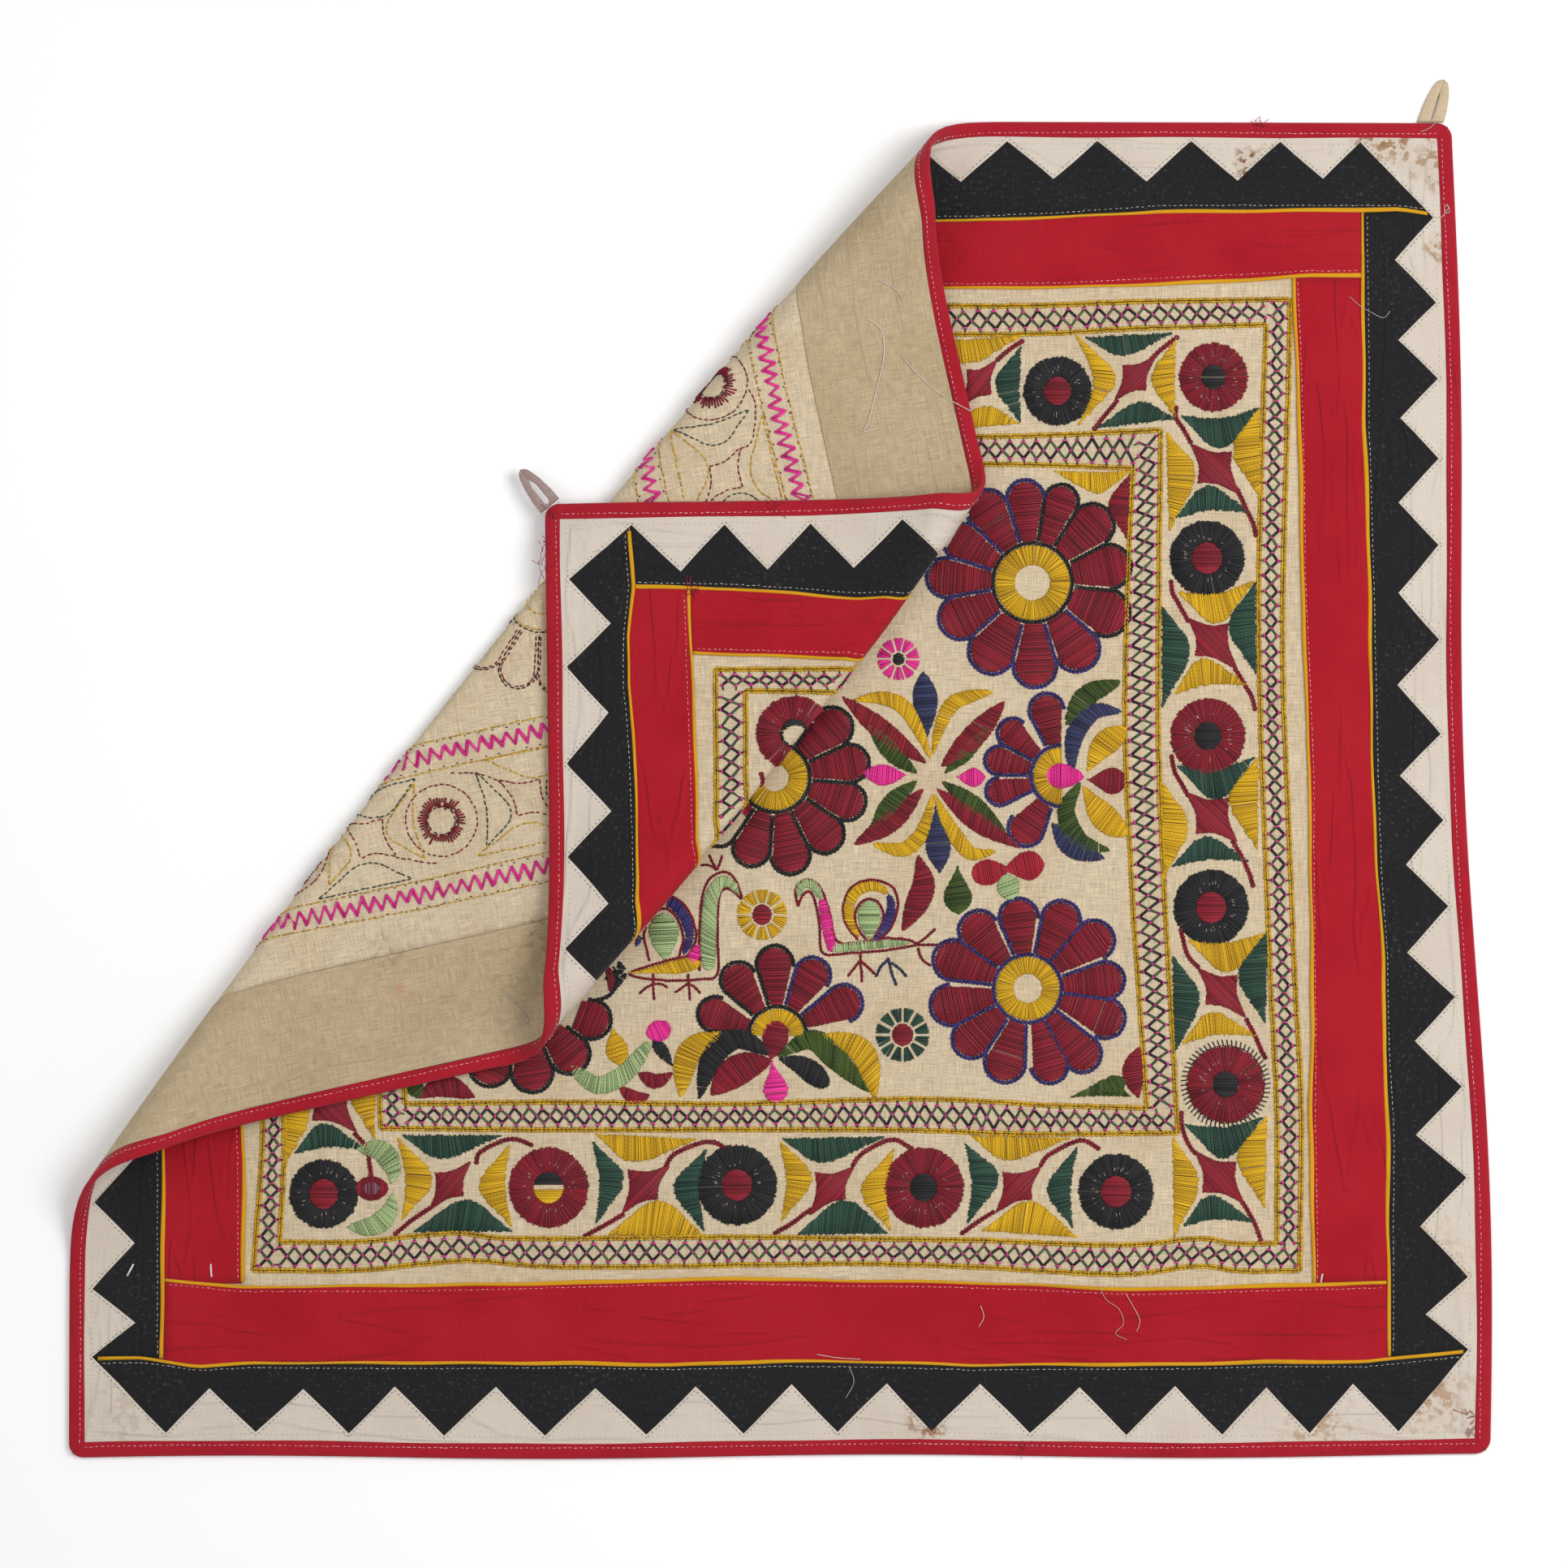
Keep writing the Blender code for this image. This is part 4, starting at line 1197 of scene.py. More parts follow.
@dataclass(frozen=True)
class Seams:
    """The zigzag seam of the dogtooth edge.

    Args:
        tip: depth of the black points at the corners.
        radius: radius of the cloth's corners.
    """

    tip: float = 14.5
    radius: float = 9.0

    def diagonal(self, start: Spot, end: Spot) -> Spot:
        """Gives where the line between two places crosses the diagonal of the corner."""
        share = (start[1] - start[0]) / ((start[1] - start[0]) - (end[1] - end[0]))
        place = start[0] + (end[0] - start[0]) * share
        return (place, place)

    def corner(self, side: Side, other: Side, runs_on: bool, own_tip: Spot, at_start: bool) -> list[Spot]:
        """Gives the seam's points from a corner's diagonal to the first tooth of the side."""
        here = 0.0 if at_start else CLOTH.length(side)
        if runs_on:
            return [self.diagonal((self.tip, depth_at(side, "black", here)), own_tip)]
        length = CLOTH.length(other)
        place, depth = BANDS[other].tips()[-1 if at_start else 0]
        near = length - place if at_start else place
        shared_tip = (depth_at(other, "black", length if at_start else 0.0), self.tip)
        return [self.diagonal((depth, near), shared_tip), shared_tip]

    def line(self, side: Side) -> Array:
        """Gives the seam along one side as (along, depth) points between the diagonals."""
        length = CLOTH.length(side)
        tips = BANDS[side].tips()
        before, after = side.neighbours()
        starts_on, ends_on = BANDS[side].runs_on
        start = self.corner(side, before, starts_on, tips[0], True)
        own_end = (length - tips[-1][0], tips[-1][1])
        end = self.corner(side, after, ends_on, own_end, False)
        end = [(length - along, depth) for along, depth in end][::-1]
        if not starts_on:
            tips.insert(0, start.pop())
        if not ends_on:
            tips.append(end.pop(0))
        rng = np.random.default_rng(60 + side.place())
        line = start
        for tip, following in zip(tips, tips[1:]):
            between = (tip[0] + following[0]) / 2 + rng.normal(0, 0.8)
            line += [tip, (between, float(BANDS[side].edge("valley", between)) + rng.normal(0, 0.7))]
        return np.array(line + [tips[-1]] + end)

    def edge(self, along: Array, length: float, inset: float) -> Array:
        """Gives the depth of the rounded outer edge, at an inset: a straight run and two arcs."""
        radius = self.radius - inset
        from_corner = np.minimum(along, length - along)
        out = np.clip(self.radius - from_corner, 0, radius)
        return self.radius - np.sqrt(np.maximum(radius**2 - out**2, 0))


SEAMS = Seams()


def carried(rows: int, columns: int) -> tuple[Array, Array]:
    """Gives the point numbers and the faces of a closed section carried along a line."""
    index = np.arange(rows * columns).reshape(rows, columns)
    beside = np.roll(index, -1, axis=1)
    sides = [index[:-1], index[1:], beside[1:], beside[:-1]]
    return index, np.stack(sides, axis=-1).reshape(-1, 4)


def close(piece: bpy.types.Object) -> None:
    """Fills a piece's open ends, if it has any, and makes all its faces point outwards."""
    work = bmesh.new()
    work.from_mesh(piece.data)
    bmesh.ops.holes_fill(work, edges=[edge for edge in work.edges if edge.is_boundary], sides=0)
    bmesh.ops.recalc_face_normals(work, faces=work.faces[:])
    for face in work.faces:
        face.smooth = True
    work.to_mesh(piece.data)
    work.free()


@dataclass(frozen=True)
class GroundAndLining:
    """The embroidered ground panel and the lining strips behind the borders.

    Args:
        step: close spacing of the ground's grid in mm.
        bottom: height of the ground's lower face over the cloth's back in mm.
    """

    step: float = 3.5
    bottom: float = 0.3

    def build(self) -> None:
        """Makes and dresses the ground and the four strips of lining."""
        self.ground()
        for seed, side in enumerate(Side):
            self.lining(side, seed)

    def ground(self) -> None:
        """Makes the ground: a grid with close steps where the cloth goes through the folds."""
        reach = {side: BANDS[side].joined for side in Side}
        half_width, half_height = CLOTH.width / 2, CLOTH.height / 2
        left, right = reach[Side.LEFT] - half_width, half_width - reach[Side.RIGHT]
        low, high = reach[Side.BOTTOM] - half_height, half_height - reach[Side.TOP]
        across = uneven_steps(left, right, [(-431.0, 84.0)], self.step)
        up = uneven_steps(low, high, [(-236.0, 411.0)], self.step)
        flat = CLOTH.lie_flat(np.stack(np.meshgrid(across, up), axis=-1))
        lift = 0.12 * ripple(flat, 45, 3) + 0.05 * ripple(flat, 14, 5)
        top = CLOTH.fold(flat, CLOTH_TOP + lift)
        under = CLOTH.fold(flat, self.bottom + lift)
        points, quads = closed_sheet(top, under)
        uv = flat.reshape(-1, 2) * MM
        ground = new_piece("ground_cloth", points, quads, flat=np.vstack([uv, uv]))
        dress(ground, Cloths.GROUND, ["ground_panel"])

    def lining(self, side: Side, seed: int) -> None:
        """Makes the lining strip of one side."""
        start, end = strip_ends(side, LINING_EDGE, "joined", (LINING_EDGE, LINING_EDGE))
        far = BANDS[side].joined - GAP
        strip = Strip(side, start, end, LINING_EDGE, far, low=0.0, high=CLOTH_TOP, puff=0.0, seed=seed)
        piece = strip.build(f"lining_{side.value}")
        dress(piece, Cloths.LINING, [f"backing_{side.value}"])


@dataclass(frozen=True)
class Borders:
    """The red and black bands, the white dogtooth edge and the yellow piping.

    Args:
        piping_width: how far the piping reaches out from a band's inner edge in mm.
        overlap: how far the white strips reach over the diagonals of the corners.
        inset: depth of the white strips' outer edge, under the binding.
        hem: how far the white strips end before the zigzag seam.
    """

    piping_width: float = 2.85
    overlap: float = 0.6
    inset: float = 1.6
    hem: float = 0.2

    def build(self) -> None:
        """Makes and dresses every band of the four sides."""
        for seed, side in enumerate(Side):
            self.red(side, seed + 10)
            self.black(side, seed + 20)
            self.white(side, seed + 30)
            for name in ("black", "red"):
                self.piping(side, name, seed + 40)

    def under_piping(self, side: Side, name: str, under: float) -> Depths:
        """Gives the depths at which a band ends that reaches under the piping by some mm."""
        return lambda along: BANDS[side].edge(name, along) - self.piping_width + under

    def red(self, side: Side, seed: int) -> None:
        """Makes one red band, between the two pipings and under both."""
        band = BANDS[side]
        start, end = strip_ends(side, "black", "red", (band.black, band.red), 1.0)
        far = self.under_piping(side, "red", 1.3)

        def near(along: Array) -> Array:
            """Gives the depth of the outer edge."""
            return band.edge("black", along) - 0.7

        middle = (start + end) / 2
        depths = float(near(middle)), float(far(middle))
        strip = Strip(side, start, end, *depths, low=1.5, high=2.65, puff=0.35, seed=seed)
        piece = strip.build(f"red_cloth_{side.value}", near, far)
        self.finish(piece, strip, Cloths.RED, "red_cotton", f"red_band_{side.value}")

    def black(self, side: Side, seed: int) -> None:
        """Makes one black band, which also lies under the white teeth."""
        band = BANDS[side]
        under = 0.0 if all(band.runs_on) else 1.0
        start, end = strip_ends(side, BLACK_EDGE, "black", (BLACK_EDGE, band.black), under)
        far = self.under_piping(side, "black", 1.2)
        depths = BLACK_EDGE, float(far((start + end) / 2))
        strip = Strip(side, start, end, *depths, low=1.45, high=2.25, puff=0.2, seed=seed)
        piece = strip.build(f"black_cloth_{side.value}", far=far)
        self.finish(piece, strip, Cloths.BLACK, "black_cotton", f"black_band_{side.value}")

    def white(self, side: Side, seed: int) -> None:
        """Makes one white dogtooth strip, between the rounded edge and the zigzag seam."""
        length = CLOTH.length(side)
        first = SEAMS.radius - (SEAMS.radius - self.inset) / math.sqrt(2) + 0.1
        line = SEAMS.line(side)

        def near(along: Array) -> Array:
            """Gives the depth of the rounded edge."""
            return SEAMS.edge(along, length, self.inset)

        def hem(along: Array) -> Array:
            """Gives the depth of the hem at the seam."""
            return np.interp(along, line[:, 0], line[:, 1]) - self.hem

        def past(along: Array) -> Array:
            """Gives how far the hem at the seam lies past the corners' diagonals."""
            return hem(along) - np.minimum(along, length - along)

        def far(along: Array) -> Array:
            """Gives the depth of the hem, a little wavy and cut off at the corners' diagonals."""
            corner = np.minimum(along, length - along)
            calm = 1 - np.exp(-((past(along) / 8.0) ** 2))
            wavy = hem(along) + 0.35 * calm * np.sin(along / 7.3 + seed)
            return np.minimum(wavy, corner + self.overlap)

        fine = np.linspace(0, length, 8000)
        crossings = fine[np.nonzero(np.diff(np.sign(past(fine) - self.overlap)))[0]]
        marks = np.sort(np.concatenate([line[:, 0], crossings]))
        depths = self.inset, BANDS[side].valley
        strip = Strip(side, first, length - first, *depths, low=2.3, high=3.0, puff=0.15, seed=seed)
        piece = strip.build(f"white_teeth_{side.value}", near, far, 2.0, marks)
        along = strip.steps(2.0)
        area = float(np.trapz(far(along) - near(along), along)) * MM * MM
        self.finish(piece, strip, Cloths.WHITE, "white_cotton", f"dogtooth_{side.value}", area)

    def finish(
        self,
        piece: bpy.types.Object,
        strip: Strip,
        finish: ClothFinish,
        slot: str,
        node: str,
        area: float | None = None,
    ) -> None:
        dress(piece, finish, [node])

    def piping(self, side: Side, name: str, seed: int) -> None:
        """Makes one piping: a flattened tube carried along the seam.

        Its section is an ellipse of ten points; its width and its place follow sine waves.
        """
        depth = getattr(BANDS[side], name)
        outer = CORNER_PIPING if name == "black" else "black"
        start, end = strip_ends(side, outer, name, (depth, depth))
        along = Strip(side, start, end, 0, 1, 0, 1).steps(3.0)
        half = 1.1 + 0.22 * np.sin(along / 61 + seed * 2.1) + 0.14 * np.sin(along / 17 + seed)
        middle = BANDS[side].edge(name, along) - 1.2 + 0.35 * np.sin(along / 43 + seed)
        middle = middle + 0.22 * np.sin(along / 11 + 2 * seed)
        turn = np.arange(10) / 10 * 2 * math.pi
        depth = middle[:, None] + half[:, None] * np.cos(turn)
        height = np.broadcast_to(2.3 + 0.9 * np.sin(turn), depth.shape)
        place = np.broadcast_to(along[:, None], depth.shape)
        points = CLOTH.fold(CLOTH.on_side(side, place, depth), height)
        index, quads = carried(*depth.shape)
        ends = [index[0, [0, i, i + 1]] for i in range(1, len(turn) - 1)]
        ends += [index[-1, [0, i + 1, i]] for i in range(1, len(turn) - 1)]
        uv = np.stack([place, depth], axis=-1).reshape(-1, 2) * MM
        name = f"{name}_{side.value}"
        piece = new_piece(f"yellow_piping_{name}", points.reshape(-1, 3), quads, np.array(ends), uv)
        close(piece)
        dress(piece, Cloths.PIPING, [f"piping_{name}"])


@dataclass(frozen=True)
class Binding:
    """The crimson binding, folded over the raw edge with a leg on each face.

    Args:
        section: its outline, each point as (depth, height over the cloth's back) in mm.
    """

    section: Spots = (
        (9.5, 3.0), (9.45, 3.45), (8.6, 3.75), (6.5, 3.85), (4.0, 3.9), (2.0, 3.75), (0.7, 3.2),
        (0.1, 2.2), (0.1, 1.3), (0.6, 0.5), (1.8, 0.08), (5.0, 0.0), (9.3, 0.0), (9.5, 0.35),
        (9.3, 0.8), (5.0, 1.0), (2.2, 1.1), (1.5, 1.6), (1.5, 2.4), (2.2, 3.0), (5.0, 3.1),
    )

    def build(self) -> None:
        """Makes and dresses the binding of the four sides."""
        for seed, side in enumerate(Side):
            self.one(side, seed)

    def one(self, side: Side, seed: int) -> None:
        """Makes the binding of one side.

        The section is carried along the side; each point of it keeps its depth from the
        rounded edge, and is cut off at the diagonals of the corners, and its height and
        inner edge are made uneven by slow sine waves.
        """
        length = CLOTH.length(side)
        share = np.linspace(0, 1, 9)[1:]
        corner = (1 - np.cos(share * math.pi / 2)) * 12
        middle = Strip(side, 16.0, length - 16.0, 0, 1, 0, 1).steps(4.0)
        along = np.concatenate([corner + 2.0, middle, length - corner[::-1] - 2.0])
        section = np.array(self.section)
        place = np.broadcast_to(along[:, None], (len(along), len(section)))
        inset = np.broadcast_to(section[:, 0], place.shape)
        wavy = 0.25 * np.sin(along / 19 + seed)[:, None] * (section[:, 0] > 8)
        reach = length / 2 - inset - GAP
        place = np.clip(place - length / 2, -reach, reach) + length / 2
        from_corner = np.minimum(place, length - place)
        radius = np.maximum(SEAMS.radius - inset, 0.01)
        out = np.clip(SEAMS.radius - from_corner, 0, radius)
        arc = SEAMS.radius - np.sqrt(np.maximum(radius**2 - out**2, 0))
        depth = np.where(inset < SEAMS.radius, arc, inset)
        depth = np.minimum(depth, from_corner) + wavy
        flat = CLOTH.on_side(side, place, depth)
        bumps = 0.22 * ripple(flat, 16, seed + 60) + 0.12 * ripple(flat, 6, seed + 70)
        upper = np.clip(section[:, 1] - 2.6, 0, 1)
        points = CLOTH.fold(flat, section[:, 1] + bumps * upper)
        _index, quads = carried(*place.shape)
        uv = np.stack([place, np.broadcast_to(measured(section), place.shape)], axis=-1)
        uv = uv.reshape(-1, 2) * MM
        piece = new_piece(f"crimson_binding_{side.value}", points.reshape(-1, 3), quads, flat=uv)
        close(piece)
        dress(piece, Cloths.BINDING, [f"binding_{side.value}"])


@dataclass(frozen=True)
class Studio:
    """The pale floor, the soft light and the camera over the hanging.

    Args:
        framed: width of the floor that the camera sees in metres.
        centre: place on the floor that it looks at.
    """

    framed: float = 0.966
    centre: Spot = (0.00225, -0.00895)

    def build(self) -> None:
        """Makes the floor, the lights, the world and the camera."""
        scene = bpy.context.scene
        self.floor()
        self.light("key_light", (1.4, 0.3, 1.9), size=1.5, power=35.0)
        self.light("fill_light", (-1.1, 0.3, 2.6), size=3.0, power=21.0)
        world = bpy.data.worlds.new("soft_room")
        world.use_nodes = True
        back = world.node_tree.nodes["Background"]
        back.inputs["Color"].default_value = (1.0, 1.0, 1.0, 1.0)
        back.inputs["Strength"].default_value = 0.46
        scene.world = world
        camera = bpy.data.cameras.new("camera")
        camera.lens = 150.0
        camera.sensor_width = 36.0
        camera.clip_end = 50.0
        distance = self.framed * camera.lens / camera.sensor_width
        holder = bpy.data.objects.new("camera", camera)
        holder.location = (*self.centre, distance)
        scene.collection.objects.link(holder)
        scene.camera = holder
        scene.view_settings.view_transform = "Standard"

    def floor(self) -> None:
        """Makes the pale floor, faintly uneven in tone."""
        half, level = 3.0, -0.0004
        places = [(-half, -half, level), (half, -half, level), (half, half, level), (-half, half, level)]
        points = np.array(places)
        floor = new_piece("floor", points, np.array([[0, 1, 2, 3]]), flat=points[:, :2])
        material, graph, shader = start_material("pale_floor")
        cloudy = graph.noise(graph.add("ShaderNodeTexCoord").outputs["Object"], 1.6)
        share = graph.spread(cloudy, 0.3, 0.7, 0.0, 1.0)
        colour = graph.mix(share, (0.98, 0.985, 0.99, 1.0), (1.0, 1.0, 1.0, 1.0))
        graph.feed(shader, {"Base Color": colour, "Roughness": 0.9})
        floor.data.materials.append(material)

    def light(self, name: str, place: tuple[float, float, float], size: float, power: float) -> None:
        """Makes one soft area light that looks at the hanging."""
        lamp = bpy.data.lights.new(name, "AREA")
        lamp.shape = "DISK"
        lamp.size = size
        lamp.energy = power
        holder = bpy.data.objects.new(name, lamp)
        holder.location = place
        way = -np.array(place)
        holder.rotation_euler = (
            math.atan2(math.hypot(way[0], way[1]), -way[2]),
            0.0,
            math.atan2(way[1], way[0]) - math.pi / 2,
        )
        bpy.context.scene.collection.objects.link(holder)


@dataclass(frozen=True)
class Loops:
    """The two hanging loops: tapes folded to a point, their legs a slit apart.

    Args:
        outline: their outer edge, as (share of the length, share of half the width).
        root_length: length at the root over which the legs lie together in mm.
        slit_end: share of the length where the slit ends.
    """

    outline: Spots = ((0.0, 1.0), (0.3, 0.96), (0.6, 0.8), (0.85, 0.55), (0.96, 0.32), (1.0, 0.0))
    root_length: float = 3.0
    slit_end: float = 0.72

    def build(self) -> None:
        """Makes both loops."""
        self.one(
            "loop_top_left",
            root=(-430.9, 398.7),
            across=(0.785, 0.62),
            way=(-0.62, 0.785),
            length=29.0,
            half_width=7.3,
            half_slit=1.7,
            finish=Cloths.STRIPED,
            slot="striped_tape",
        )
        self.one(
            "loop_top_right",
            root=(401.4, 397.9),
            across=(1.0, -0.003),
            way=(0.3, 0.954),
            length=27.8,
            half_width=8.0,
            half_slit=0.55,
            finish=Cloths.BEIGE,
            slot="beige_tape",
        )

    def one(
        self,
        name: str,
        root: Spot,
        across: Spot,
        way: Spot,
        length: float,
        half_width: float,
        half_slit: float,
        finish: ClothFinish,
        slot: str,
    ) -> None:
        """Makes one loop: each leg is a grid over (share of the length, share across).

        The leg runs between the slit and the outline, and crowns a little in its middle.

        Args:
            name: the loop's name.
            root: middle of its root on the flat cloth in mm.
            across: direction of the root's edge.
            way: direction from the root to the tip.
            length: its length in mm.
            half_width: half of its width at the root in mm.
            half_slit: half of the slit's width in mm.
            finish: the tape's look.
            slot: the tape's slot; not used.
        """
        shares = np.linspace(0, 1, 19)
        outer = np.interp(shares, *np.array(self.outline).T) * half_width
        taper = np.clip((1 - shares / self.slit_end) / 0.25, 0, 1)
        inner = np.where(shares < self.root_length / length, 0.0, half_slit * taper)
        tip = np.array(way) / np.linalg.norm(way)
        square = np.array([tip[1], -tip[0]])
        span = np.array(across) * (1 - shares[:, None]) + square * shares[:, None]
        middle = np.array(root) + tip * (shares * length)[:, None]
        cross = np.array([0.0, 0.08, 0.3, 0.5, 0.7, 0.92, 1.0])
        points, quads, places = [], [], []
        for hand in (1, -1):
            half = inner[:, None] + (outer - inner)[:, None] * cross
            flat = middle[:, None] + span[:, None] * (hand * half)[..., None]
            crown = 0.5 * (4 * cross * (1 - cross)) * np.ones_like(half)
            raised = 0.35 * np.sin(math.pi * shares)[:, None] * (1 if hand == 1 else 0.6)
            top = CLOTH.fold(flat, 1.55 + crown + raised)
            leg, faces = closed_sheet(top, CLOTH.fold(flat, 0.15 + 0.2 * crown))
            run = np.broadcast_to((shares * length)[:, None], half.shape)
            uv = np.stack([half * hand, run], axis=-1).reshape(-1, 2) * MM
            quads.append(faces + sum(map(len, points)))
            points.append(leg)
            places += [uv, uv]
        piece = new_piece(f"tape_{name}", np.vstack(points), np.vstack(quads), flat=np.vstack(places))
        close(piece)
        dress(piece, finish, [name])


class Technique(Enum):
    """The ways in which the threads are sewn."""

    SATIN = "satin"
    CHAIN = "chain"
    RUNNING = "running"
    CROSSED = "crossed"
    REVERSE = "reverse"
    LOOSE = "loose"


@dataclass
class Strands:
    """The strands of one thread in one technique, gathered into one piece.

    Args:
        name: the piece's name.
        finish: the thread's look.
        seed: number that sets its own unevenness.
        behind: whether it lies on the back of the cloth.
    """

    name: str
    finish: ThreadFinish
    seed: int
    behind: bool = False
    groups: list[tuple[Array, Array, Array]] = field(default_factory=list)

    def __post_init__(self) -> None:
        """Starts the piece's own sequence of random numbers."""
        self.random = np.random.default_rng(self.seed)

    def add(self, flat: Array, height: ArrayLike, radius: ArrayLike) -> None:
        """Adds strands, of which only those that can be seen are kept.

        Args:
            flat: (n, k, 2) places of the k points of each strand in mm.
            height: heights over the cloth's back in mm, for all strands or each.
            radius: radii in mm, for all strands or each.
        """
        if not len(flat):
            return
        shows = CLOTH.back_shows if self.behind else CLOTH.front_shows
        seen = shows(flat.mean(axis=1))
        shape = flat.shape[:2]
        height = np.broadcast_to(np.asarray(height, dtype=float), shape)[seen]
        radius = np.broadcast_to(np.asarray(radius, dtype=float), shape)[seen]
        if seen.any():
            self.groups.append((flat[seen], height, radius))

    def satin(self, first: Array, last: Array, pitch: float = 1.2, slant: float = 0.0,
              ragged: float = 0.45, bow: float = 0.0) -> None:
        """Fills the space between two edges with strands side by side.

        Each strand goes from its share of the first edge to its share of the last one,
        dips into the cloth at both ends, and may bow along the edges in its middle.

        Args:
            first: (n, 2) points of one edge in mm.
            last: (m, 2) points of the other edge.
            pitch: distance between strands in mm.
            slant: how far the strands lean, in shares of the edges.
            ragged: how far their ends stick out in mm.
            bow: how far their middles are pushed along the edges in mm.
        """
        length = (measured(first)[-1] + measured(last)[-1]) / 2
        count = max(3, int(length / pitch))
        share = (np.arange(count) + 0.5) / count + self.random.normal(0, 0.1 / count, count)
        room = np.array([measured(first)[-1], measured(last)[-1]]) / count
        start, end = places_along(first, share - slant), places_along(last, share + slant)
        way = end - start
        span = np.maximum(np.linalg.norm(way, axis=1), 0.4)[:, None]
        unit = way / span
        start = start - unit * self.random.uniform(-0.3 * ragged, ragged, (count, 1))
        end = end + unit * self.random.uniform(-0.3 * ragged, ragged, (count, 1))
        edge = np.clip(0.9 / span, 0, 0.32)
        cuts = np.concatenate([0 * edge, edge, 1 - edge, 1 + 0 * edge], axis=1)
        flat = start[:, None] + (end - start)[:, None] * cuts[..., None]
        across = to_left(unit)
        push = bow + self.random.normal(0, 0.10, (count, 1))
        flat[:, 1:3] += (across * push)[:, None]
        rise = np.clip(span / 14, 0.35, 1.0) * 0.55
        height = CLOTH_TOP + 0.12 + rise * np.array([0.0, 1.0, 1.0, 0.0])
        height = height + self.random.normal(0, 0.11, (count, 1))
        spaces = room[0] + (room[1] - room[0]) * cuts
        taper = np.array([0.6, 1.0, 1.0, 0.6])
        self.add(flat, height, np.clip(0.76 * spaces, 0.36, 1.1) * taper)

    def chain(self, line: Array, width: float = 2.7, pitch: float = 2.5) -> None:
        """Sews chain stitch: each link is two strands that part and meet again.

        Args:
            line: (n, 2) points of the line in mm.
            width: width of the chain in mm.
            pitch: length of a link in mm.
        """
        count = max(2, round(measured(line)[-1] / pitch))
        nodes = places_along(line, np.arange(count + 1) / count)
        nodes = nodes + self.random.normal(0, 0.12, nodes.shape)
        way = np.diff(nodes, axis=0)
        unit = way / np.linalg.norm(way, axis=1)[:, None]
        left = to_left(unit)
        radius = 0.25 * width
        for hand in (1, -1):
            start = nodes[:-1] + left * (hand * 0.13 * width) - unit * 0.2
            swell = width / 2 - radius + self.random.normal(0, 0.08, (count, 1))
            middle = nodes[:-1] + way * 0.48 + left * hand * swell
            end = nodes[1:] + left * (hand * 0.08 * width) + unit * 0.2
            flat = np.stack([start, middle, end], axis=1)
            height = CLOTH_TOP + np.array([0.1, 0.48, 0.42])
            self.add(flat, height, radius * np.array([0.85, 1.1, 0.8]))

    def dashes(self, line: Array, height: float, pitch: float = 3.4, dash: float = 2.1,
               radius: float = 0.26, loose: float = 0.12) -> None:
        """Sews a row of single stitches along a line.

        Args:
            line: (n, 2) points of the line in mm.
            height: height of the stitches over the cloth's back in mm.
            pitch: distance from stitch to stitch in mm.
            dash: length of a stitch in mm.
            radius: radius of the thread in mm.
            loose: how far the stitches stray from the line in mm.
        """
        total = measured(line)[-1]
        count = max(1, int(total / pitch))
        middle = (np.arange(count) + 0.5) * total / count
        middle = middle + self.random.normal(0, 0.06 * pitch, count)
        half = dash / 2 * self.random.uniform(0.7, 1.2, count)
        ends = [places_along(line, (middle + sign * half) / total) for sign in (-1, 0, 1)]
        flat = np.stack(ends, axis=1) + self.random.normal(0, loose, (count, 1, 2))
        sink = 0.32 if self.behind else -0.32
        self.add(flat, height + np.array([sink, 0.0, sink]), radius * np.array([0.6, 1, 0.6]))

    def stray(self, spots: ArrayLike, height: float, radius: float = 0.22) -> None:
        """Lays one loose thread along a smooth curve through the given flat places."""
        curve = smooth_line(spots, 6)
        out = -0.9 if self.behind else 0.9
        rise = height + out * np.abs(np.sin(np.arange(len(curve)) * 0.9))
        self.groups.append((curve[None], rise[None], np.full((1, len(curve)), radius)))

    def build(self) -> None:
        """Makes the piece: each strand is a three-sided tube round its curve, closed at its ends.

        At each point the section is a triangle on the strand's side and up directions,
        and the up direction is the cloth's own.
        """
        if not self.groups:
            return
        points, quads, caps, places, tones, base = [], [], [], [], [], 0
        turn = np.radians([90.0, 210.0, 330.0])
        away = -0.4 if self.behind else 0.4
        for size in sorted({group[0].shape[1] for group in self.groups}):
            same = [group for group in self.groups if group[0].shape[1] == size]
            flat, height, radius = (np.concatenate(part) for part in zip(*same))
            place = CLOTH.fold(flat, height)
            place[..., 2] = np.maximum(place[..., 2], 0.0003)
            up = CLOTH.fold(flat, height + away) - place
            up /= np.linalg.norm(up, axis=-1, keepdims=True)
            way = np.gradient(place, axis=1)
            side = np.cross(way, up)
            side /= np.maximum(np.linalg.norm(side, axis=-1, keepdims=True), 1e-9)
            section = np.cos(turn)[:, None] * side[:, :, None]
            section = section + 0.85 * np.sin(turn)[:, None] * up[:, :, None]
            tube = place[:, :, None] + section * (radius * MM)[..., None, None]
            index = base + np.arange(tube[..., 0].size).reshape(tube.shape[:3])
            beside = np.roll(index, -1, axis=2)
            sides = [index[:, :-1], index[:, 1:], beside[:, 1:], beside[:, :-1]]
            quads.append(np.stack(sides, axis=-1).reshape(-1, 4))
            caps += [index[:, 0], index[:, -1, ::-1]]
            run = np.cumsum(np.linalg.norm(np.diff(place, axis=1, prepend=place[:, :1]), axis=-1), 1)
            round_share = np.broadcast_to(np.arange(3) / 3, tube.shape[:3])
            offset = self.random.uniform(0, 1, (len(flat), 1, 1))
            run = np.broadcast_to(run[..., None] + offset, tube.shape[:3])
            places.append(np.stack([round_share, run], axis=-1).reshape(-1, 2))
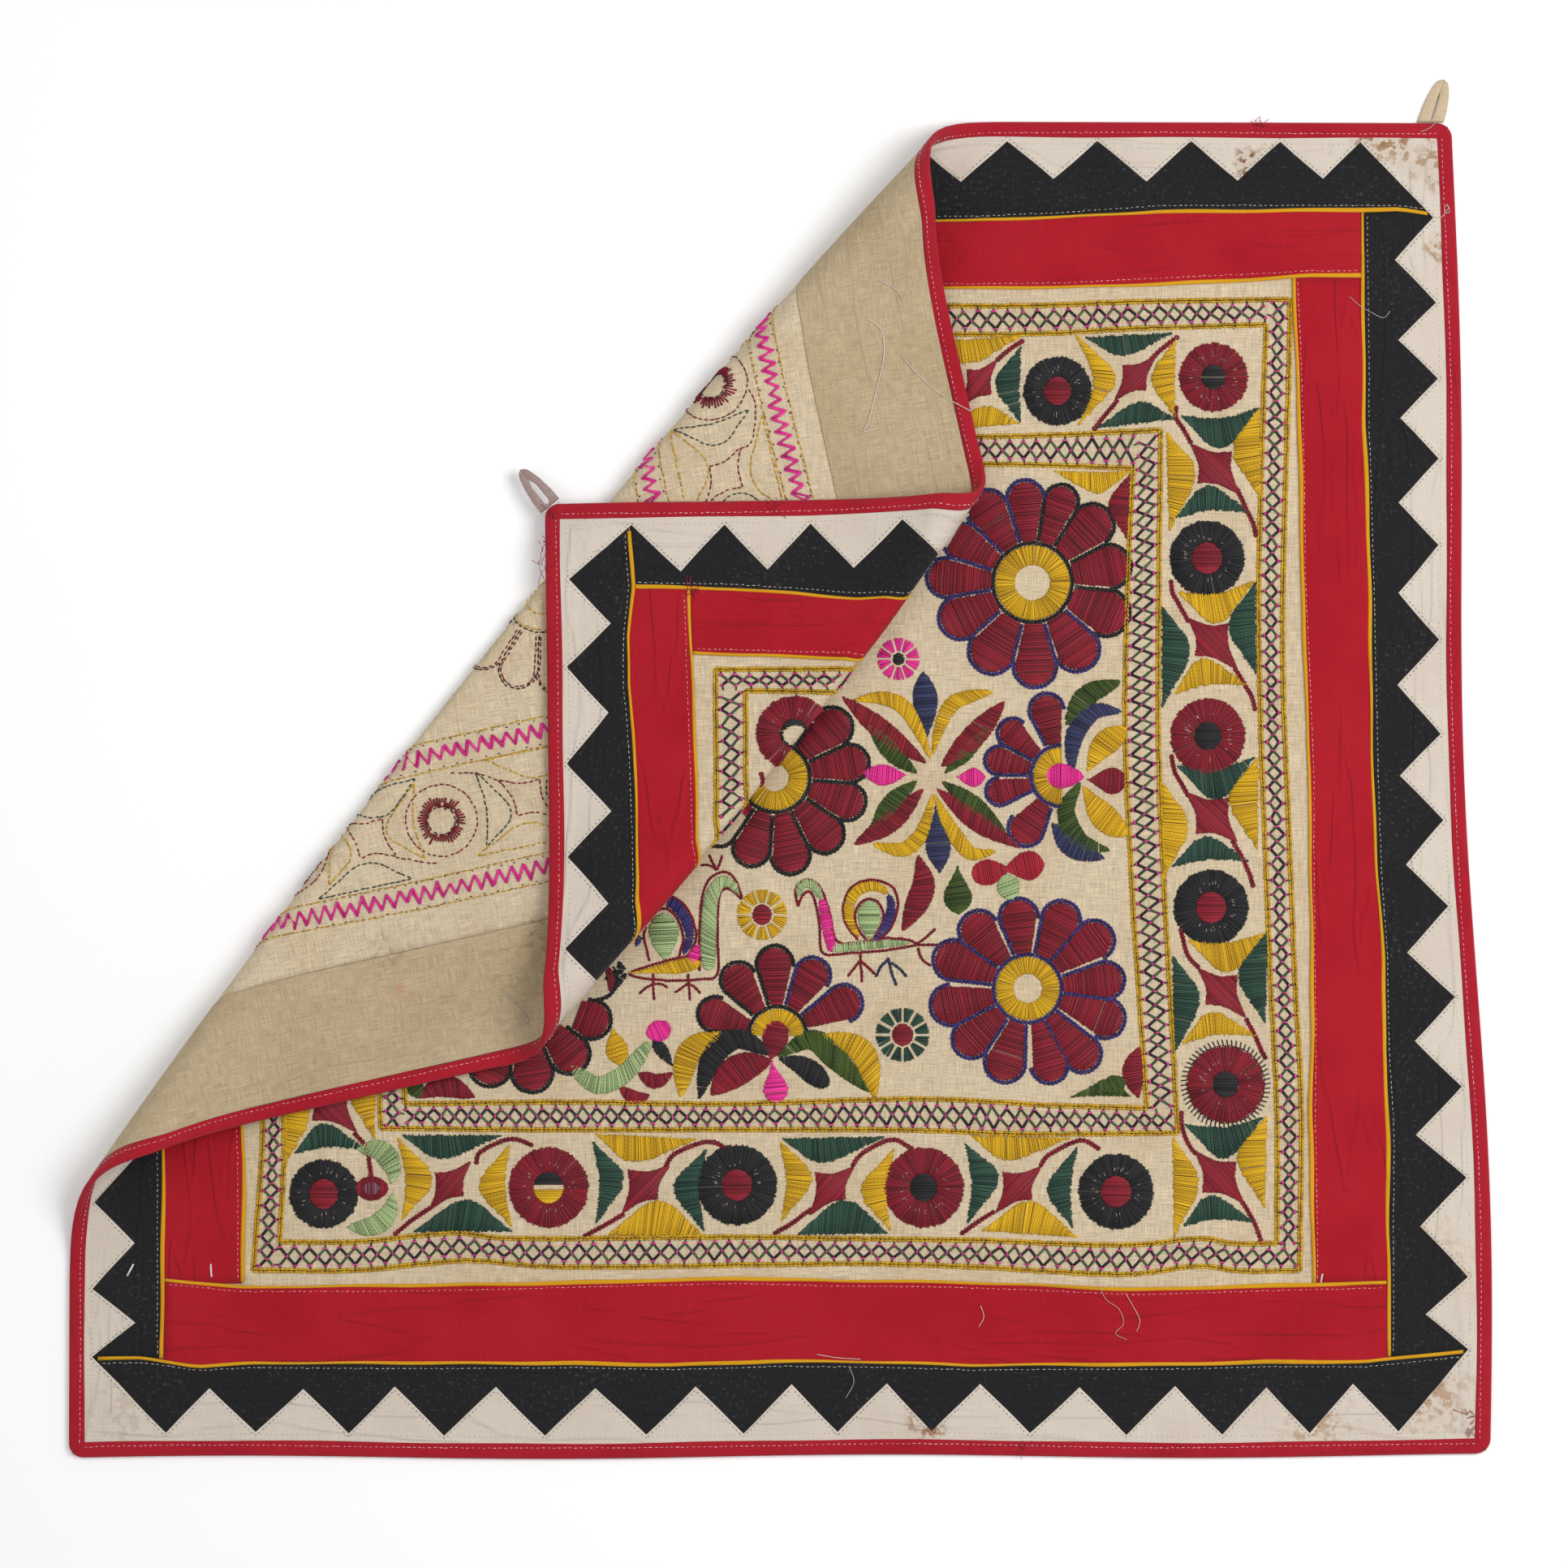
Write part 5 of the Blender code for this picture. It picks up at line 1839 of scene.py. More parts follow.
            tone = self.random.uniform(0, 1, (len(flat), 1, 1)) ** 1.2
            tones.append(np.broadcast_to(tone, tube.shape[:3]).reshape(-1))
            points.append(tube.reshape(-1, 3))
            base += tube[..., 0].size
        piece = new_piece(self.name, np.vstack(points), np.vstack(quads), np.vstack(caps),
                          np.vstack(places), np.concatenate(tones))
        dress(piece, self.finish)


@dataclass
class Needle:
    """Sews with every thread, on the front and at the same time on the back."""

    works: dict[str, Strands] = field(default_factory=dict)

    def use(self, technique: Technique, thread: ThreadFinish) -> Strands:
        """Gives the strands of a thread in a technique, started on their first use."""
        name = f"{technique.value}_{thread.name}"
        if name not in self.works:
            behind = technique is Technique.REVERSE
            seed = 100 + len(self.works)
            self.works[name] = Strands(name, thread, seed, behind)
        return self.works[name]

    def fill(self, thread: ThreadFinish, first: Array, last: Array, **how: float) -> None:
        """Fills between two edges in satin stitch; the back shows dashes along both edges."""
        self.use(Technique.SATIN, thread).satin(first, last, **how)
        for edge in (first, last):
            self.behind(thread, edge)

    def outline(self, thread: ThreadFinish, line: Array, **how: float) -> None:
        """Sews a line in chain stitch; the back shows it in dashes."""
        self.use(Technique.CHAIN, thread).chain(line, **how)
        self.behind(thread, line)

    def draw(self, thread: ThreadFinish, spots: ArrayLike, **how: float) -> None:
        """Sews a smooth line through places of the layout in chain stitch."""
        self.outline(thread, smooth_line(drawn(spots)), **how)

    def behind(self, thread: ThreadFinish, line: Array, pitch: float = 3.6) -> None:
        """Sews a row of dashes on the back."""
        work = self.use(Technique.REVERSE, thread)
        work.dashes(line, -0.25, pitch, 0.8 * pitch, 0.62, 0.15)

    def build(self) -> None:
        """Makes all the pieces."""
        for work in self.works.values():
            work.build()


NEEDLE = Needle()


@dataclass(frozen=True)
class Leaf:
    """A leaf or drop: a smooth spine from root to tip, widest at a share of its length.

    Args:
        thread: the thread that fills it.
        spine: places along its middle in layout units.
        width: greatest width in layout units.
        widest: share of the length where it is widest.
        blunt: power of the width's curve; small values make blunt ends.
        slant: how far the stitches lean.
    """

    thread: ThreadFinish
    spine: tuple[Spot, ...]
    width: float
    widest: float = 0.5
    blunt: float = 1.0
    slant: float = 0.03

    def edges(self) -> tuple[Array, Array]:
        """Gives both edges: the spine moved sideways by half the width times a sine's power."""
        line = places_along(smooth_line(drawn(self.spine)), np.linspace(0, 1, 33))
        way = np.gradient(line, axis=0)
        way /= np.linalg.norm(way, axis=1)[:, None]
        left = to_left(way)
        share = np.linspace(0, 1, 33) ** (math.log(0.5) / math.log(self.widest))
        half = self.width / 4 * np.sin(math.pi * share) ** self.blunt + 0.15
        return line + left * half[:, None], line - left * half[:, None]

    def sew(self) -> None:
        """Fills the leaf."""
        NEEDLE.fill(self.thread, *self.edges(), slant=self.slant)


@dataclass(frozen=True)
class Petal:
    """One petal, as seen from the flower's centre.

    Args:
        angle: direction of its tip in degrees, against the clock from the right.
        tip: distance of its tip from the centre in layout units.
        half_angle: half of the angle that it fills.
        outline: thread of its outline.
    """

    angle: float
    tip: float
    half_angle: float
    outline: ThreadFinish


@dataclass(frozen=True)
class Flower:
    """A flower: a yellow ring, and petals with outlines round it.

    Args:
        centre: its middle in layout units.
        hole: radius of the ring's hole.
        ring: outer radius of the ring.
        petals: its petals in order.
        rim: thread of the ring's outline.
        arc: start angle and turn of the ring, for a half flower.
    """

    centre: Spot
    hole: float
    ring: float
    petals: tuple[Petal, ...]
    rim: ThreadFinish
    arc: Spot = (0.0, 360.0)

    def polar(self, radius: Array, aside: Array, angle: float) -> Array:
        """Gives flat places from distances along a petal's middle line and to its left."""
        way = ways_at(np.radians(angle))
        return drawn(self.centre) + (radius[:, None] * way + aside[:, None] * to_left(way)) / 2

    def sew(self) -> None:
        """Sews the ring, its outline and every petal."""
        start, turn = self.arc
        angles = [(start, turn)] if abs(turn) < 360 else [(start, 180.0), (start + 180, 180.0)]
        centre = drawn(self.centre)
        for first, part in angles:
            inner = circle(centre, self.hole / 2, first, part)
            outer = circle(centre, (self.ring - 3) / 2, first, part)
            NEEDLE.fill(Threads.YELLOW, inner, outer, pitch=0.95)
        NEEDLE.outline(self.rim, circle(centre, self.ring / 2, start, turn), width=3.2)
        for petal in self.petals:
            self.sew_petal(petal)

    def sew_petal(self, petal: Petal) -> None:
        """Fills one petal and sews its outline.

        The petal is a wedge from the ring to the middle of its round tip, and the tip is a
        circle arc; the fill keeps a chain's half width inside the outline.
        """
        sine = math.sin(math.radians(petal.half_angle))
        turn_at = petal.tip / (1 + sine)
        cap = petal.tip - turn_at
        radius = self.ring + 3 + (petal.tip - 6 - self.ring) * np.linspace(0, 1, 40)
        past = np.clip((radius - turn_at) / max(cap - 3, 1), 0, 1)
        half = np.where(radius < turn_at, radius * sine - 2.5, (cap - 2.5) * np.sqrt(1 - past**2))
        half = np.maximum(half, 1.5)
        left = self.polar(radius, half, petal.angle)
        right = self.polar(radius, -half, petal.angle)
        NEEDLE.fill(Threads.MAROON, right, left, bow=0.5, pitch=1.15)
        swing = np.radians(np.linspace(-98, 98, 24))
        around = self.polar(turn_at + cap * np.cos(swing), cap * np.sin(swing), petal.angle)
        NEEDLE.outline(petal.outline, around, width=3.2)
        reach = np.array([self.ring + 2, turn_at - cap * 0.1])
        NEEDLE.outline(petal.outline, self.polar(reach, reach * sine, petal.angle), width=3.2)


def even_petals(
    first: float, tip: float, threads: str, seed: int, angles: tuple[float, ...] = ()
) -> tuple[Petal, ...]:
    """Gives twelve petals round a flower, a little uneven as a hand draws them.

    Args:
        first: direction of the first petal.
        tip: distance of the tips.
        threads: one letter for each outline, b for black or v for violet.
        seed: number that sets the unevenness.
        angles: directions of the petals, where they are given.

    Returns:
        The petals.
    """
    rng = np.random.default_rng(seed)
    turns = list(angles) or [first + 30 * i + rng.uniform(-2.5, 2.5) for i in range(12)]
    names = {"b": Threads.BLACK, "v": Threads.VIOLET}
    petals = []
    for i, angle in enumerate(turns):
        after, before = (turns[(i + 1) % 12] - angle) % 360, (angle - turns[i - 1]) % 360
        reach = tip * (1 + rng.uniform(-0.03, 0.03))
        outline = names[threads[i % len(threads)]]
        petals.append(Petal(angle + (after - before) / 4, reach, (after + before) / 4, outline))
    return tuple(petals)


@dataclass(frozen=True)
class Disc:
    """A round of the border band: a ragged ring of radial stitches round a filled centre.

    Args:
        centre: its middle in layout units.
        radius: its outer radius.
        inner: radius of the centre.
        ring: thread of the ring.
        heart: thread of the centre.
        flecks: radius of the circle of pale flecks.
    """

    centre: Spot
    radius: float
    inner: float
    ring: ThreadFinish
    heart: ThreadFinish
    flecks: float = 26.0

    def sew(self) -> None:
        """Sews the ring, the centre and the flecks."""
        centre = drawn(self.centre)
        ring = NEEDLE.use(Technique.SATIN, self.ring)
        for start in (0.0, 120.0, 240.0):
            inner = circle(centre, self.inner / 2, start, 120.0)
            ring.satin(inner, circle(centre, self.radius / 2, start, 120.0), 0.9, 0.0, 0.9)
        halves = ((90, 180), (90, -180)) if self.heart is not Threads.YELLOW else ((10, 80), (170, -80))
        upper, lower = (circle(centre, self.inner / 2, *half) for half in halves)
        heart = Threads.BLACK if self.heart is Threads.YELLOW else self.heart
        NEEDLE.use(Technique.SATIN, heart).satin(upper, lower, 1.05, 0.0, 0.4)
        if self.heart is Threads.YELLOW:
            upper, lower = circle(centre, self.inner / 2, -8, -82), circle(centre, self.inner / 2, 188, 82)
            NEEDLE.use(Technique.SATIN, Threads.YELLOW).satin(upper, lower, 1.05, 0.0, 0.3)
        pale = NEEDLE.use(Technique.LOOSE, Threads.PALE)
        ways = ways_at(pale.random.uniform(0, 2 * math.pi, 22))
        reach = (self.flecks / 2 + pale.random.normal(0, 1.0, 22))[:, None]
        length = pale.random.uniform(0.8, 2.2, 22)[:, None]
        flat = np.stack([centre + ways * reach, centre + ways * (reach + length)], axis=1)
        pale.add(flat, SATIN_TOP + 0.5, 0.24)
        NEEDLE.behind(Threads.MAROON, circle(centre, self.radius / 2))
        back = NEEDLE.use(Technique.REVERSE, Threads.MAROON)
        ways = ways_at(np.linspace(0, 2 * math.pi, 46, endpoint=False))
        near = centre + ways * (9 + back.random.normal(0, 0.7, (46, 1)))
        far = centre + ways * (14 + back.random.normal(0, 1.2, (46, 1)))
        back.add(np.stack([near, far], axis=1), -0.25, 0.75)
        NEEDLE.behind(Threads.BLACK, circle(centre, 8.6))


class Form(Enum):
    """The drawn forms of the figure between two discs."""

    COLUMN = "column"
    ROW = "row"
    SHORT = "short"


FORMS: dict[Form, dict[str, tuple[Spot, ...]]] = {
    Form.COLUMN: {
        "diamond": ((-27, -32), (22, -24), (33, 29), (-18, 14)),
        "first_tail": ((-26, -31), (-37, -48), (-44, -64), (-46, -80)),
        "last_tail": ((31, 27), (44, 50), (50, 66), (55, 82)),
        "top": ((-38, -64), (57, -76), (8, -25)),
        "bottom": ((-44, 58), (47, 52), (-8, 19)),
        "right": ((59, -77), (58, 36), (23, -24)),
        "left": ((-57, -46), (-55, 73), (-24, 6)),
    },
    Form.ROW: {
        "diamond": ((-21, -15), (27, -23), (16, 17), (-28, 34)),
        "first_tail": ((26, -22), (37, -38), (75, -54), (99, -45)),
        "last_tail": ((-27, 33), (-50, 46), (-72, 61)),
        "top": ((-59, -60), (62, -58), (-12, -29)),
        "bottom": ((-44, 59), (72, 62), (17, 19)),
        "right": ((73, -45), (70, 55), (34, 5)),
        "left": ((-64, -54), (-61, 46), (-25, -7)),
    },
    Form.SHORT: {
        "diamond": ((-14, -15), (22, -26), (13, 14), (-22, 28)),
        "first_tail": ((21, -25), (38, -40), (54, -53)),
        "last_tail": ((-21, 27), (-36, 45), (-51, 61)),
        "top": ((-60, -50), (49, -58), (-14, -25)),
        "bottom": ((-45, 60), (49, 52), (5, 25)),
        "right": ((49, -44), (50, 48), (21, 0)),
        "left": ((-73, -53), (-67, 56), (-24, -2)),
    },
}


@dataclass(frozen=True)
class Cell:
    """The figure between two discs: a maroon diamond with two tails and four leaves.

    Args:
        centre: its middle in layout units.
        form: which of the drawn forms it has.
        swapped: whether yellow and green change places.
        seed: number that sets its unevenness.
    """

    centre: Spot
    form: Form
    swapped: bool
    seed: int = 0

    def sew(self) -> None:
        """Sews the diamond, the tails and the leaves."""
        rng = np.random.default_rng(700 + self.seed)
        shapes = {
            name: np.array(self.centre) + np.array(spots, dtype=float) + rng.normal(0, 1.5, (len(spots), 2))
            for name, spots in FORMS[self.form].items()
        }
        self.diamond(shapes["diamond"], self.form is Form.COLUMN)
        for name in ("first_tail", "last_tail"):
            NEEDLE.draw(Threads.MAROON, shapes[name], width=3.6, pitch=2.4)
        colours = (Threads.YELLOW, Threads.GREEN)
        for name in ("top", "bottom", "left", "right"):
            across = name in ("left", "right")
            bow = 0.17 if across != (self.form is Form.COLUMN) else 0.0
            if self.form is Form.SHORT and across:
                bow = 0.42 if name == "left" else 0.05
            self.leaf(shapes[name], colours[across == self.swapped], bow)

    def diamond(self, corners: Array, upright: bool) -> None:
        """Fills the diamond: its sides curve in, and the stitches cross it side by side."""
        middle = corners.mean(axis=0)
        sides = []
        for start, end in zip(corners, np.roll(corners, -1, axis=0)):
            belly = (start + end) / 2 + (middle - (start + end) / 2) * 0.22
            sides.append(smooth_line(drawn([start, belly, end])))
        if upright:
            first = np.vstack([sides[0][::-1][:-1], sides[3][::-1]])
            last = np.vstack([sides[1][:-1], sides[2]])
        else:
            first = np.vstack([sides[0][:-1], sides[1]])
            last = np.vstack([sides[3][::-1][:-1], sides[2][::-1]])
        NEEDLE.fill(Threads.MAROON, first, last, pitch=1.15, ragged=0.6)

    def leaf(self, spots: Array, thread: ThreadFinish, bow: float) -> None:
        """Fills one leaf, with its belly to the centre.

        Args:
            spots: its two ends and the place of its belly.
            thread: the thread that fills it.
            bow: how far its outer side curves in round a disc, as a share of its width.
        """
        start, end, belly = spots
        lift = belly - (start + end) / 2
        middle = (start + end) / 2 + lift * bow
        outer = places_along(smooth_line(drawn([start, middle, end])), np.linspace(0, 1, 20))
        near, far = start * 0.6 + end * 0.4, start * 0.4 + end * 0.6
        curve = [start, (start + near) / 2 + lift * 0.47, near + lift * 0.9,
                 far + lift * 0.9, (end + far) / 2 + lift * 0.47, end]
        inner = smooth_line(drawn(curve))
        NEEDLE.fill(thread, outer, inner, pitch=1.1, slant=0.02, ragged=1.0)


@dataclass(frozen=True)
class Lattice:
    """A border of two crossing zigzags between two chain-stitched lines, all round the field.

    Args:
        outer: the outer line's corners and turns in layout units, one row for each side.
        inner: the inner line's in the same order.
        pitch: length of one zigzag leg in mm.
        seed: number that sets its unevenness.
    """

    outer: tuple[tuple[Spot, ...], ...]
    inner: tuple[tuple[Spot, ...], ...]
    pitch: float
    seed: int = 0

    def sew(self) -> None:
        """Sews both chain lines and the zigzags of the four sides."""
        for number, (outer, inner) in enumerate(zip(self.outer, self.inner)):
            for spots in (outer, inner):
                line = smooth_line(drawn(spots))
                NEEDLE.use(Technique.CHAIN, Threads.GOLD).chain(line, 4.1, 2.7)
                NEEDLE.behind(Threads.GOLD, line, 3.8)
                # Painted shade: short black dashes stand for the dark holes along the chain lines.
                holes = NEEDLE.use(Technique.RUNNING, Threads.BLACK)
                holes.dashes(line, CLOTH_TOP + 0.6, 5.4, 0.8, 0.2, 0.2)
            self.zigzags(smooth_line(drawn(outer)), smooth_line(drawn(inner)), number)

    def zigzags(self, outer: Array, inner: Array, number: int) -> None:
        """Sews the crossing threads of one side, their couching stitches and the ticks.

        The nodes of both lines lie opposite each other; one thread goes from a node of the
        outer line to the next one of the inner line and back, and the other the other way.
        """
        rng = np.random.default_rng(self.seed * 10 + number)
        way = (inner[-1] - inner[-2]) / np.linalg.norm(inner[-1] - inner[-2])
        inner = np.vstack([inner, inner[-1] + way * 14.5])
        count = max(4, round(measured(inner)[-1] / self.pitch))
        share = np.arange(count + 1) / count + rng.normal(0, 0.04 / count, count + 1)
        edge = 17.0 / measured(outer)[-1]
        rims = [places_along(outer, edge + share * (1 - 1.15 * edge)), places_along(inner, share)]
        middle, reach = (rims[0] + rims[1]) / 2, (rims[0] - rims[1]) / 2
        wide = np.linalg.norm(reach, axis=1)[:, None]
        outward = reach / wide
        sign = np.where(np.arange(count + 1) % 2, 1.0, -1.0)[:, None]
        size = wide - 3.6 + rng.normal(0, 0.35, (count + 1, 1))
        magenta = NEEDLE.use(Technique.CROSSED, Threads.MAGENTA)
        centre = (middle[:-1] + middle[1:]) / 2 + rng.normal(0, 0.25, (count, 2))
        along = np.stack([outward[:, 1], -outward[:, 0]], axis=1)
        self.dots(magenta, centre, outward[:-1], 1.15, rng)
        for thread, way, over in ((Threads.BLACK, 1.0, 0.25), (Threads.DARK_OLIVE, -1.0, 0.0)):
            work = NEEDLE.use(Technique.CROSSED, thread)
            apex = middle + outward * way * sign * size
            legs = np.stack([apex[:-1], centre, apex[1:]], axis=1)
            work.add(legs, CLOTH_TOP + 0.2 + over + np.array([0.0, 0.3, 0.0]), 1.05)
            tip = apex + outward * way * sign * rng.uniform(2.8, 4.6, (count + 1, 1))
            tip = tip + along * rng.normal(0, 0.5, (count + 1, 1))
            work.add(np.stack([apex, tip], axis=1), CLOTH_TOP + np.array([0.35, 0.9]), 0.6)
            self.dots(magenta, apex + outward * way * sign * 0.2, along, 1.1, rng)
        self.behind_zigzag(middle, outward, rng)

    def behind_zigzag(self, middle: Array, outward: Array, rng: np.random.Generator) -> None:
        """Sews the doubled magenta zigzag that the border shows on the cloth's back."""
        back = NEEDLE.use(Technique.REVERSE, Threads.MAGENTA)
        count = int(measured(middle)[-1] / 3.9)
        share = np.linspace(0, 1, count + 1)
        line = places_along(middle, share)
        turn = outward[np.minimum((share * len(outward)).astype(int), len(outward) - 1)]
        sign = np.where(np.arange(count + 1) % 2, 1.0, -1.0)[:, None]
        for shift in (0.0, 0.9):
            size = 4.2 + rng.normal(0, 0.8, (count + 1, 1))
            knee = line + turn * sign * size + shift * 0.7 + rng.normal(0, 0.3, line.shape)
            back.add(np.stack([knee[:-1], knee[1:]], axis=1), -0.3 - 0.2 * shift, 0.78)
        for edge in (-7.6, 7.6):
            row = NEEDLE.use(Technique.REVERSE, Threads.BLACK)
            row.dashes(line + turn * edge, -0.3, 8.5, 1.4, 0.45, 0.3)

    def dots(
        self, work: Strands, centre: Array, way: Array, size: float, rng: np.random.Generator
    ) -> None:
        """Sews short stitches over the threads, each along its own direction."""
        half = way * (size * rng.uniform(0.7, 1.2, (len(centre), 1)))
        flat = np.stack([centre - half, centre + half], axis=1)
        work.add(flat, CLOTH_TOP + 1.15, 0.95)


OUTER_LATTICE = Lattice(
    (
        ((312, 1565), (440, 1565), (575, 1553), (700, 1561), (1040, 1557), (1200, 1561),
         (1380, 1570), (1473, 1560), (1530, 1566), (1601, 1565)),
        ((1601, 1565), (1603, 1370), (1595, 1200), (1587, 1000), (1581, 850), (1581, 700),
         (1588, 450), (1589, 369)),
        ((1589, 369), (1400, 372), (1180, 377), (700, 362), (297, 354)),
        ((297, 354), (297, 700), (300, 1000), (316, 1250), (324, 1390), (312, 1565)),
    ),
    (
        ((345, 1530), (440, 1530), (560, 1519), (640, 1526), (900, 1524), (1040, 1526),
         (1200, 1528), (1380, 1534), (1475, 1526), (1520, 1532), (1573, 1532)),
        ((1573, 1532), (1573, 1370), (1565, 1200), (1557, 1000), (1552, 850), (1551, 700),
         (1557, 480), (1560, 400)),
        ((1560, 400), (1400, 405), (1188, 412), (700, 395), (334, 381)),
        ((334, 381), (333, 700), (333, 1000), (344, 1250), (351, 1390), (345, 1530)),
    ),
    9.3,
    1,
)
INNER_LATTICE = Lattice(
    (
        ((469, 1390), (700, 1392), (1100, 1392), (1250, 1397), (1451, 1396)),
        ((1451, 1396), (1440, 1200), (1432, 1050), (1427, 900), (1428, 700), (1430, 530)),
        ((1430, 530), (1215, 538), (800, 536), (460, 540)),
        ((460, 540), (462, 1100), (469, 1390)),
    ),
    (
        ((499, 1360), (700, 1358), (900, 1360), (1130, 1354), (1300, 1362), (1413, 1365)),
        ((1413, 1365), (1405, 1250), (1395, 1100), (1386, 900), (1390, 700), (1396, 577)),
        ((1396, 577), (1220, 572), (800, 572), (497, 575)),
        ((497, 575), (497, 1000), (499, 1360)),
    ),
    8.4,
    2,
)


@dataclass
class Field:
    """The motifs in the middle of the hanging: flowers, leaf star, birds and rosettes."""

    def sew(self) -> None:
        """Sews every motif."""
        self.flowers()
        self.leaf_star()
        self.right_flower()
        self.bottom_flower()
        self.rosettes()
        self.small_leaves()
        self.crescent_bird()
        self.left_peacock()
        self.right_peacock()

    def flowers(self) -> None:
        """Sews the round flowers."""
        turns = (93, 122, 150, 176, 204, 240, 273, 301, 340, 10, 47, 71)
        Flower((1272, 718), 22, 49, even_petals(0, 127, "vvvvvvvvbbbb", 1, turns), Threads.BLACK).sew()
        rays = (
            (97, 112, 16), (64, 118, 15), (36, 126, 14.5), (6, 120, 14), (-21, 127, 14), (-50, 128, 13),
            (-74, 121, 13.5), (-107, 120, 15.5), (-138, 117, 15), (-168, 122, 15.5), (159, 123, 15),
            (130, 118, 15.5),
        )
        petals = tuple(Petal(angle, tip, half, Threads.VIOLET) for angle, tip, half in rays)
        Flower((1266, 1218), 18, 42, petals, Threads.VIOLET).sew()
        Flower((955, 958), 17, 43, even_petals(12, 118, "b", 3), Threads.BLACK).sew()
        Flower((640, 1222), 18, 43, even_petals(8, 122, "b", 4), Threads.BLACK).sew()
        Flower((640, 715), 20, 43, even_petals(2, 120, "b", 5), Threads.BLACK).sew()

    def leaf_star(self) -> None:
        """Sews the star of leaves right of the centre."""
        for spine, width in (
            (((1140, 940), (1091, 903), (1039, 859)), 25),
            (((1160, 944), (1196, 911), (1238, 865)), 28),
            (((1137, 973), (1098, 1012), (1053, 1040)), 25),
            (((1155, 972), (1203, 1012), (1256, 1044)), 23),
        ):
            Leaf(Threads.MAROON, spine, width, 0.5, 0.8).sew()
        for spine in (
            ((1146, 934), (1129, 894), (1112, 870), (1086, 860), (1053, 862)),
            ((1149, 929), (1158, 896), (1173, 868), (1196, 858), (1223, 853)),
            ((1149, 980), (1142, 1009), (1132, 1032), (1112, 1047), (1076, 1040)),
            ((1152, 980), (1165, 1009), (1180, 1034), (1198, 1052), (1226, 1049)),
        ):
            Leaf(Threads.YELLOW, spine, 18, 0.55, 0.7).sew()
        for spine, width in (
            (((1129, 953), (1100, 928), (1070, 892)), 22),
            (((1164, 952), (1190, 928), (1217, 895)), 17),
            (((1129, 963), (1100, 988), (1073, 1021)), 22),
            (((1161, 963), (1199, 990), (1238, 1025)), 20),
        ):
            Leaf(Threads.OLIVE, spine, width, 0.5, 0.8).sew()
        Leaf(Threads.NAVY, ((1137, 828), (1140, 866), (1143, 908)), 30, 0.42, 1.1, 0.0).sew()
        Leaf(Threads.NAVY, ((1152, 993), (1156, 1045), (1158, 1076)), 30, 0.6, 1.1, 0.0).sew()
        Leaf(Threads.MAGENTA, ((1061, 951), (1088, 955), (1116, 955)), 25, 0.48, 1.1, 0.0).sew()
        Leaf(Threads.MAGENTA, ((1178, 957), (1198, 958), (1214, 957)), 23, 0.6, 1.0, 0.0).sew()

    def right_flower(self) -> None:
        """Sews the half flower at the right edge of the field, and its leaves."""
        violet = Threads.VIOLET
        petals = (
            Petal(103, 104, 15.2, violet), Petal(139, 99, 13.4, violet), Petal(166, 97, 13.4, violet),
            Petal(194, 96, 13.0, violet), Petal(236, 100, 17.0, violet),
        )
        Flower((1308, 956), 16, 38, petals, violet, (90.0, 180.0)).sew()
        Leaf(Threads.MAGENTA, ((1289, 956), (1310, 956), (1335, 957)), 30, 0.4, 0.7, 0.0).sew()
        Leaf(Threads.OLIVE, ((1313, 893), (1338, 858), (1380, 840)), 25, 0.5, 0.7).sew()
        spine = ((1321, 952), (1321, 919), (1331, 893), (1351, 876), (1381, 877))
        Leaf(Threads.NAVY, spine, 23, 0.5, 0.7).sew()
        Leaf(Threads.YELLOW, ((1339, 950), (1358, 920), (1388, 897)), 30, 0.6, 0.7).sew()
        Leaf(Threads.MAROON, ((1340, 961), (1368, 962), (1388, 963)), 32, 0.65, 0.7, 0.0).sew()
        Leaf(Threads.YELLOW, ((1335, 969), (1357, 1003), (1388, 1030)), 32, 0.6, 0.7).sew()
        spine = ((1331, 965), (1314, 996), (1320, 1022), (1336, 1039), (1366, 1048))
        Leaf(Threads.OLIVE, spine, 23, 0.5, 0.7).sew()
        Leaf(Threads.NAVY, ((1297, 1014), (1320, 1044), (1360, 1058)), 23, 0.5, 0.7).sew()

    def bottom_flower(self) -> None:
        """Sews the half flower at the bottom edge of the field, and its leaves."""
        black, violet = Threads.BLACK, Threads.VIOLET
        petals = (
            Petal(161, 103, 15.5, black), Petal(125, 106, 15.5, black), Petal(92, 111, 15.2, black),
            Petal(60, 108, 15.2, violet), Petal(26, 114, 15.0, violet),
        )
        Flower((958, 1276), 15, 36, petals, black, (0.0, 180.0)).sew()
        Leaf(Threads.MAROON, ((958, 1258), (955, 1278), (950, 1304)), 32, 0.38, 0.7, 0.0).sew()
        for thread, spine, width in (
            (Threads.YELLOW, ((890, 1272), (850, 1296), (838, 1351)), 29),
            (black, ((951, 1300), (908, 1279), (878, 1302), (861, 1353)), 29),
            (Threads.MAROON, ((950, 1307), (910, 1318), (876, 1348)), 38),
            (Threads.OLIVE, ((958, 1301), (1000, 1281), (1029, 1304), (1070, 1345)), 27),
            (Threads.YELLOW, ((1014, 1274), (1062, 1296), (1078, 1352)), 30),
        ):
            Leaf(thread, spine, width, 0.5, 0.75).sew()
        Leaf(black, ((961, 1304), (990, 1314), (1020, 1338)), 27, 0.62, 0.5).sew()
        Leaf(Threads.MAGENTA, ((951, 1306), (955, 1336), (957, 1359)), 30, 0.7, 0.8, 0.0).sew()

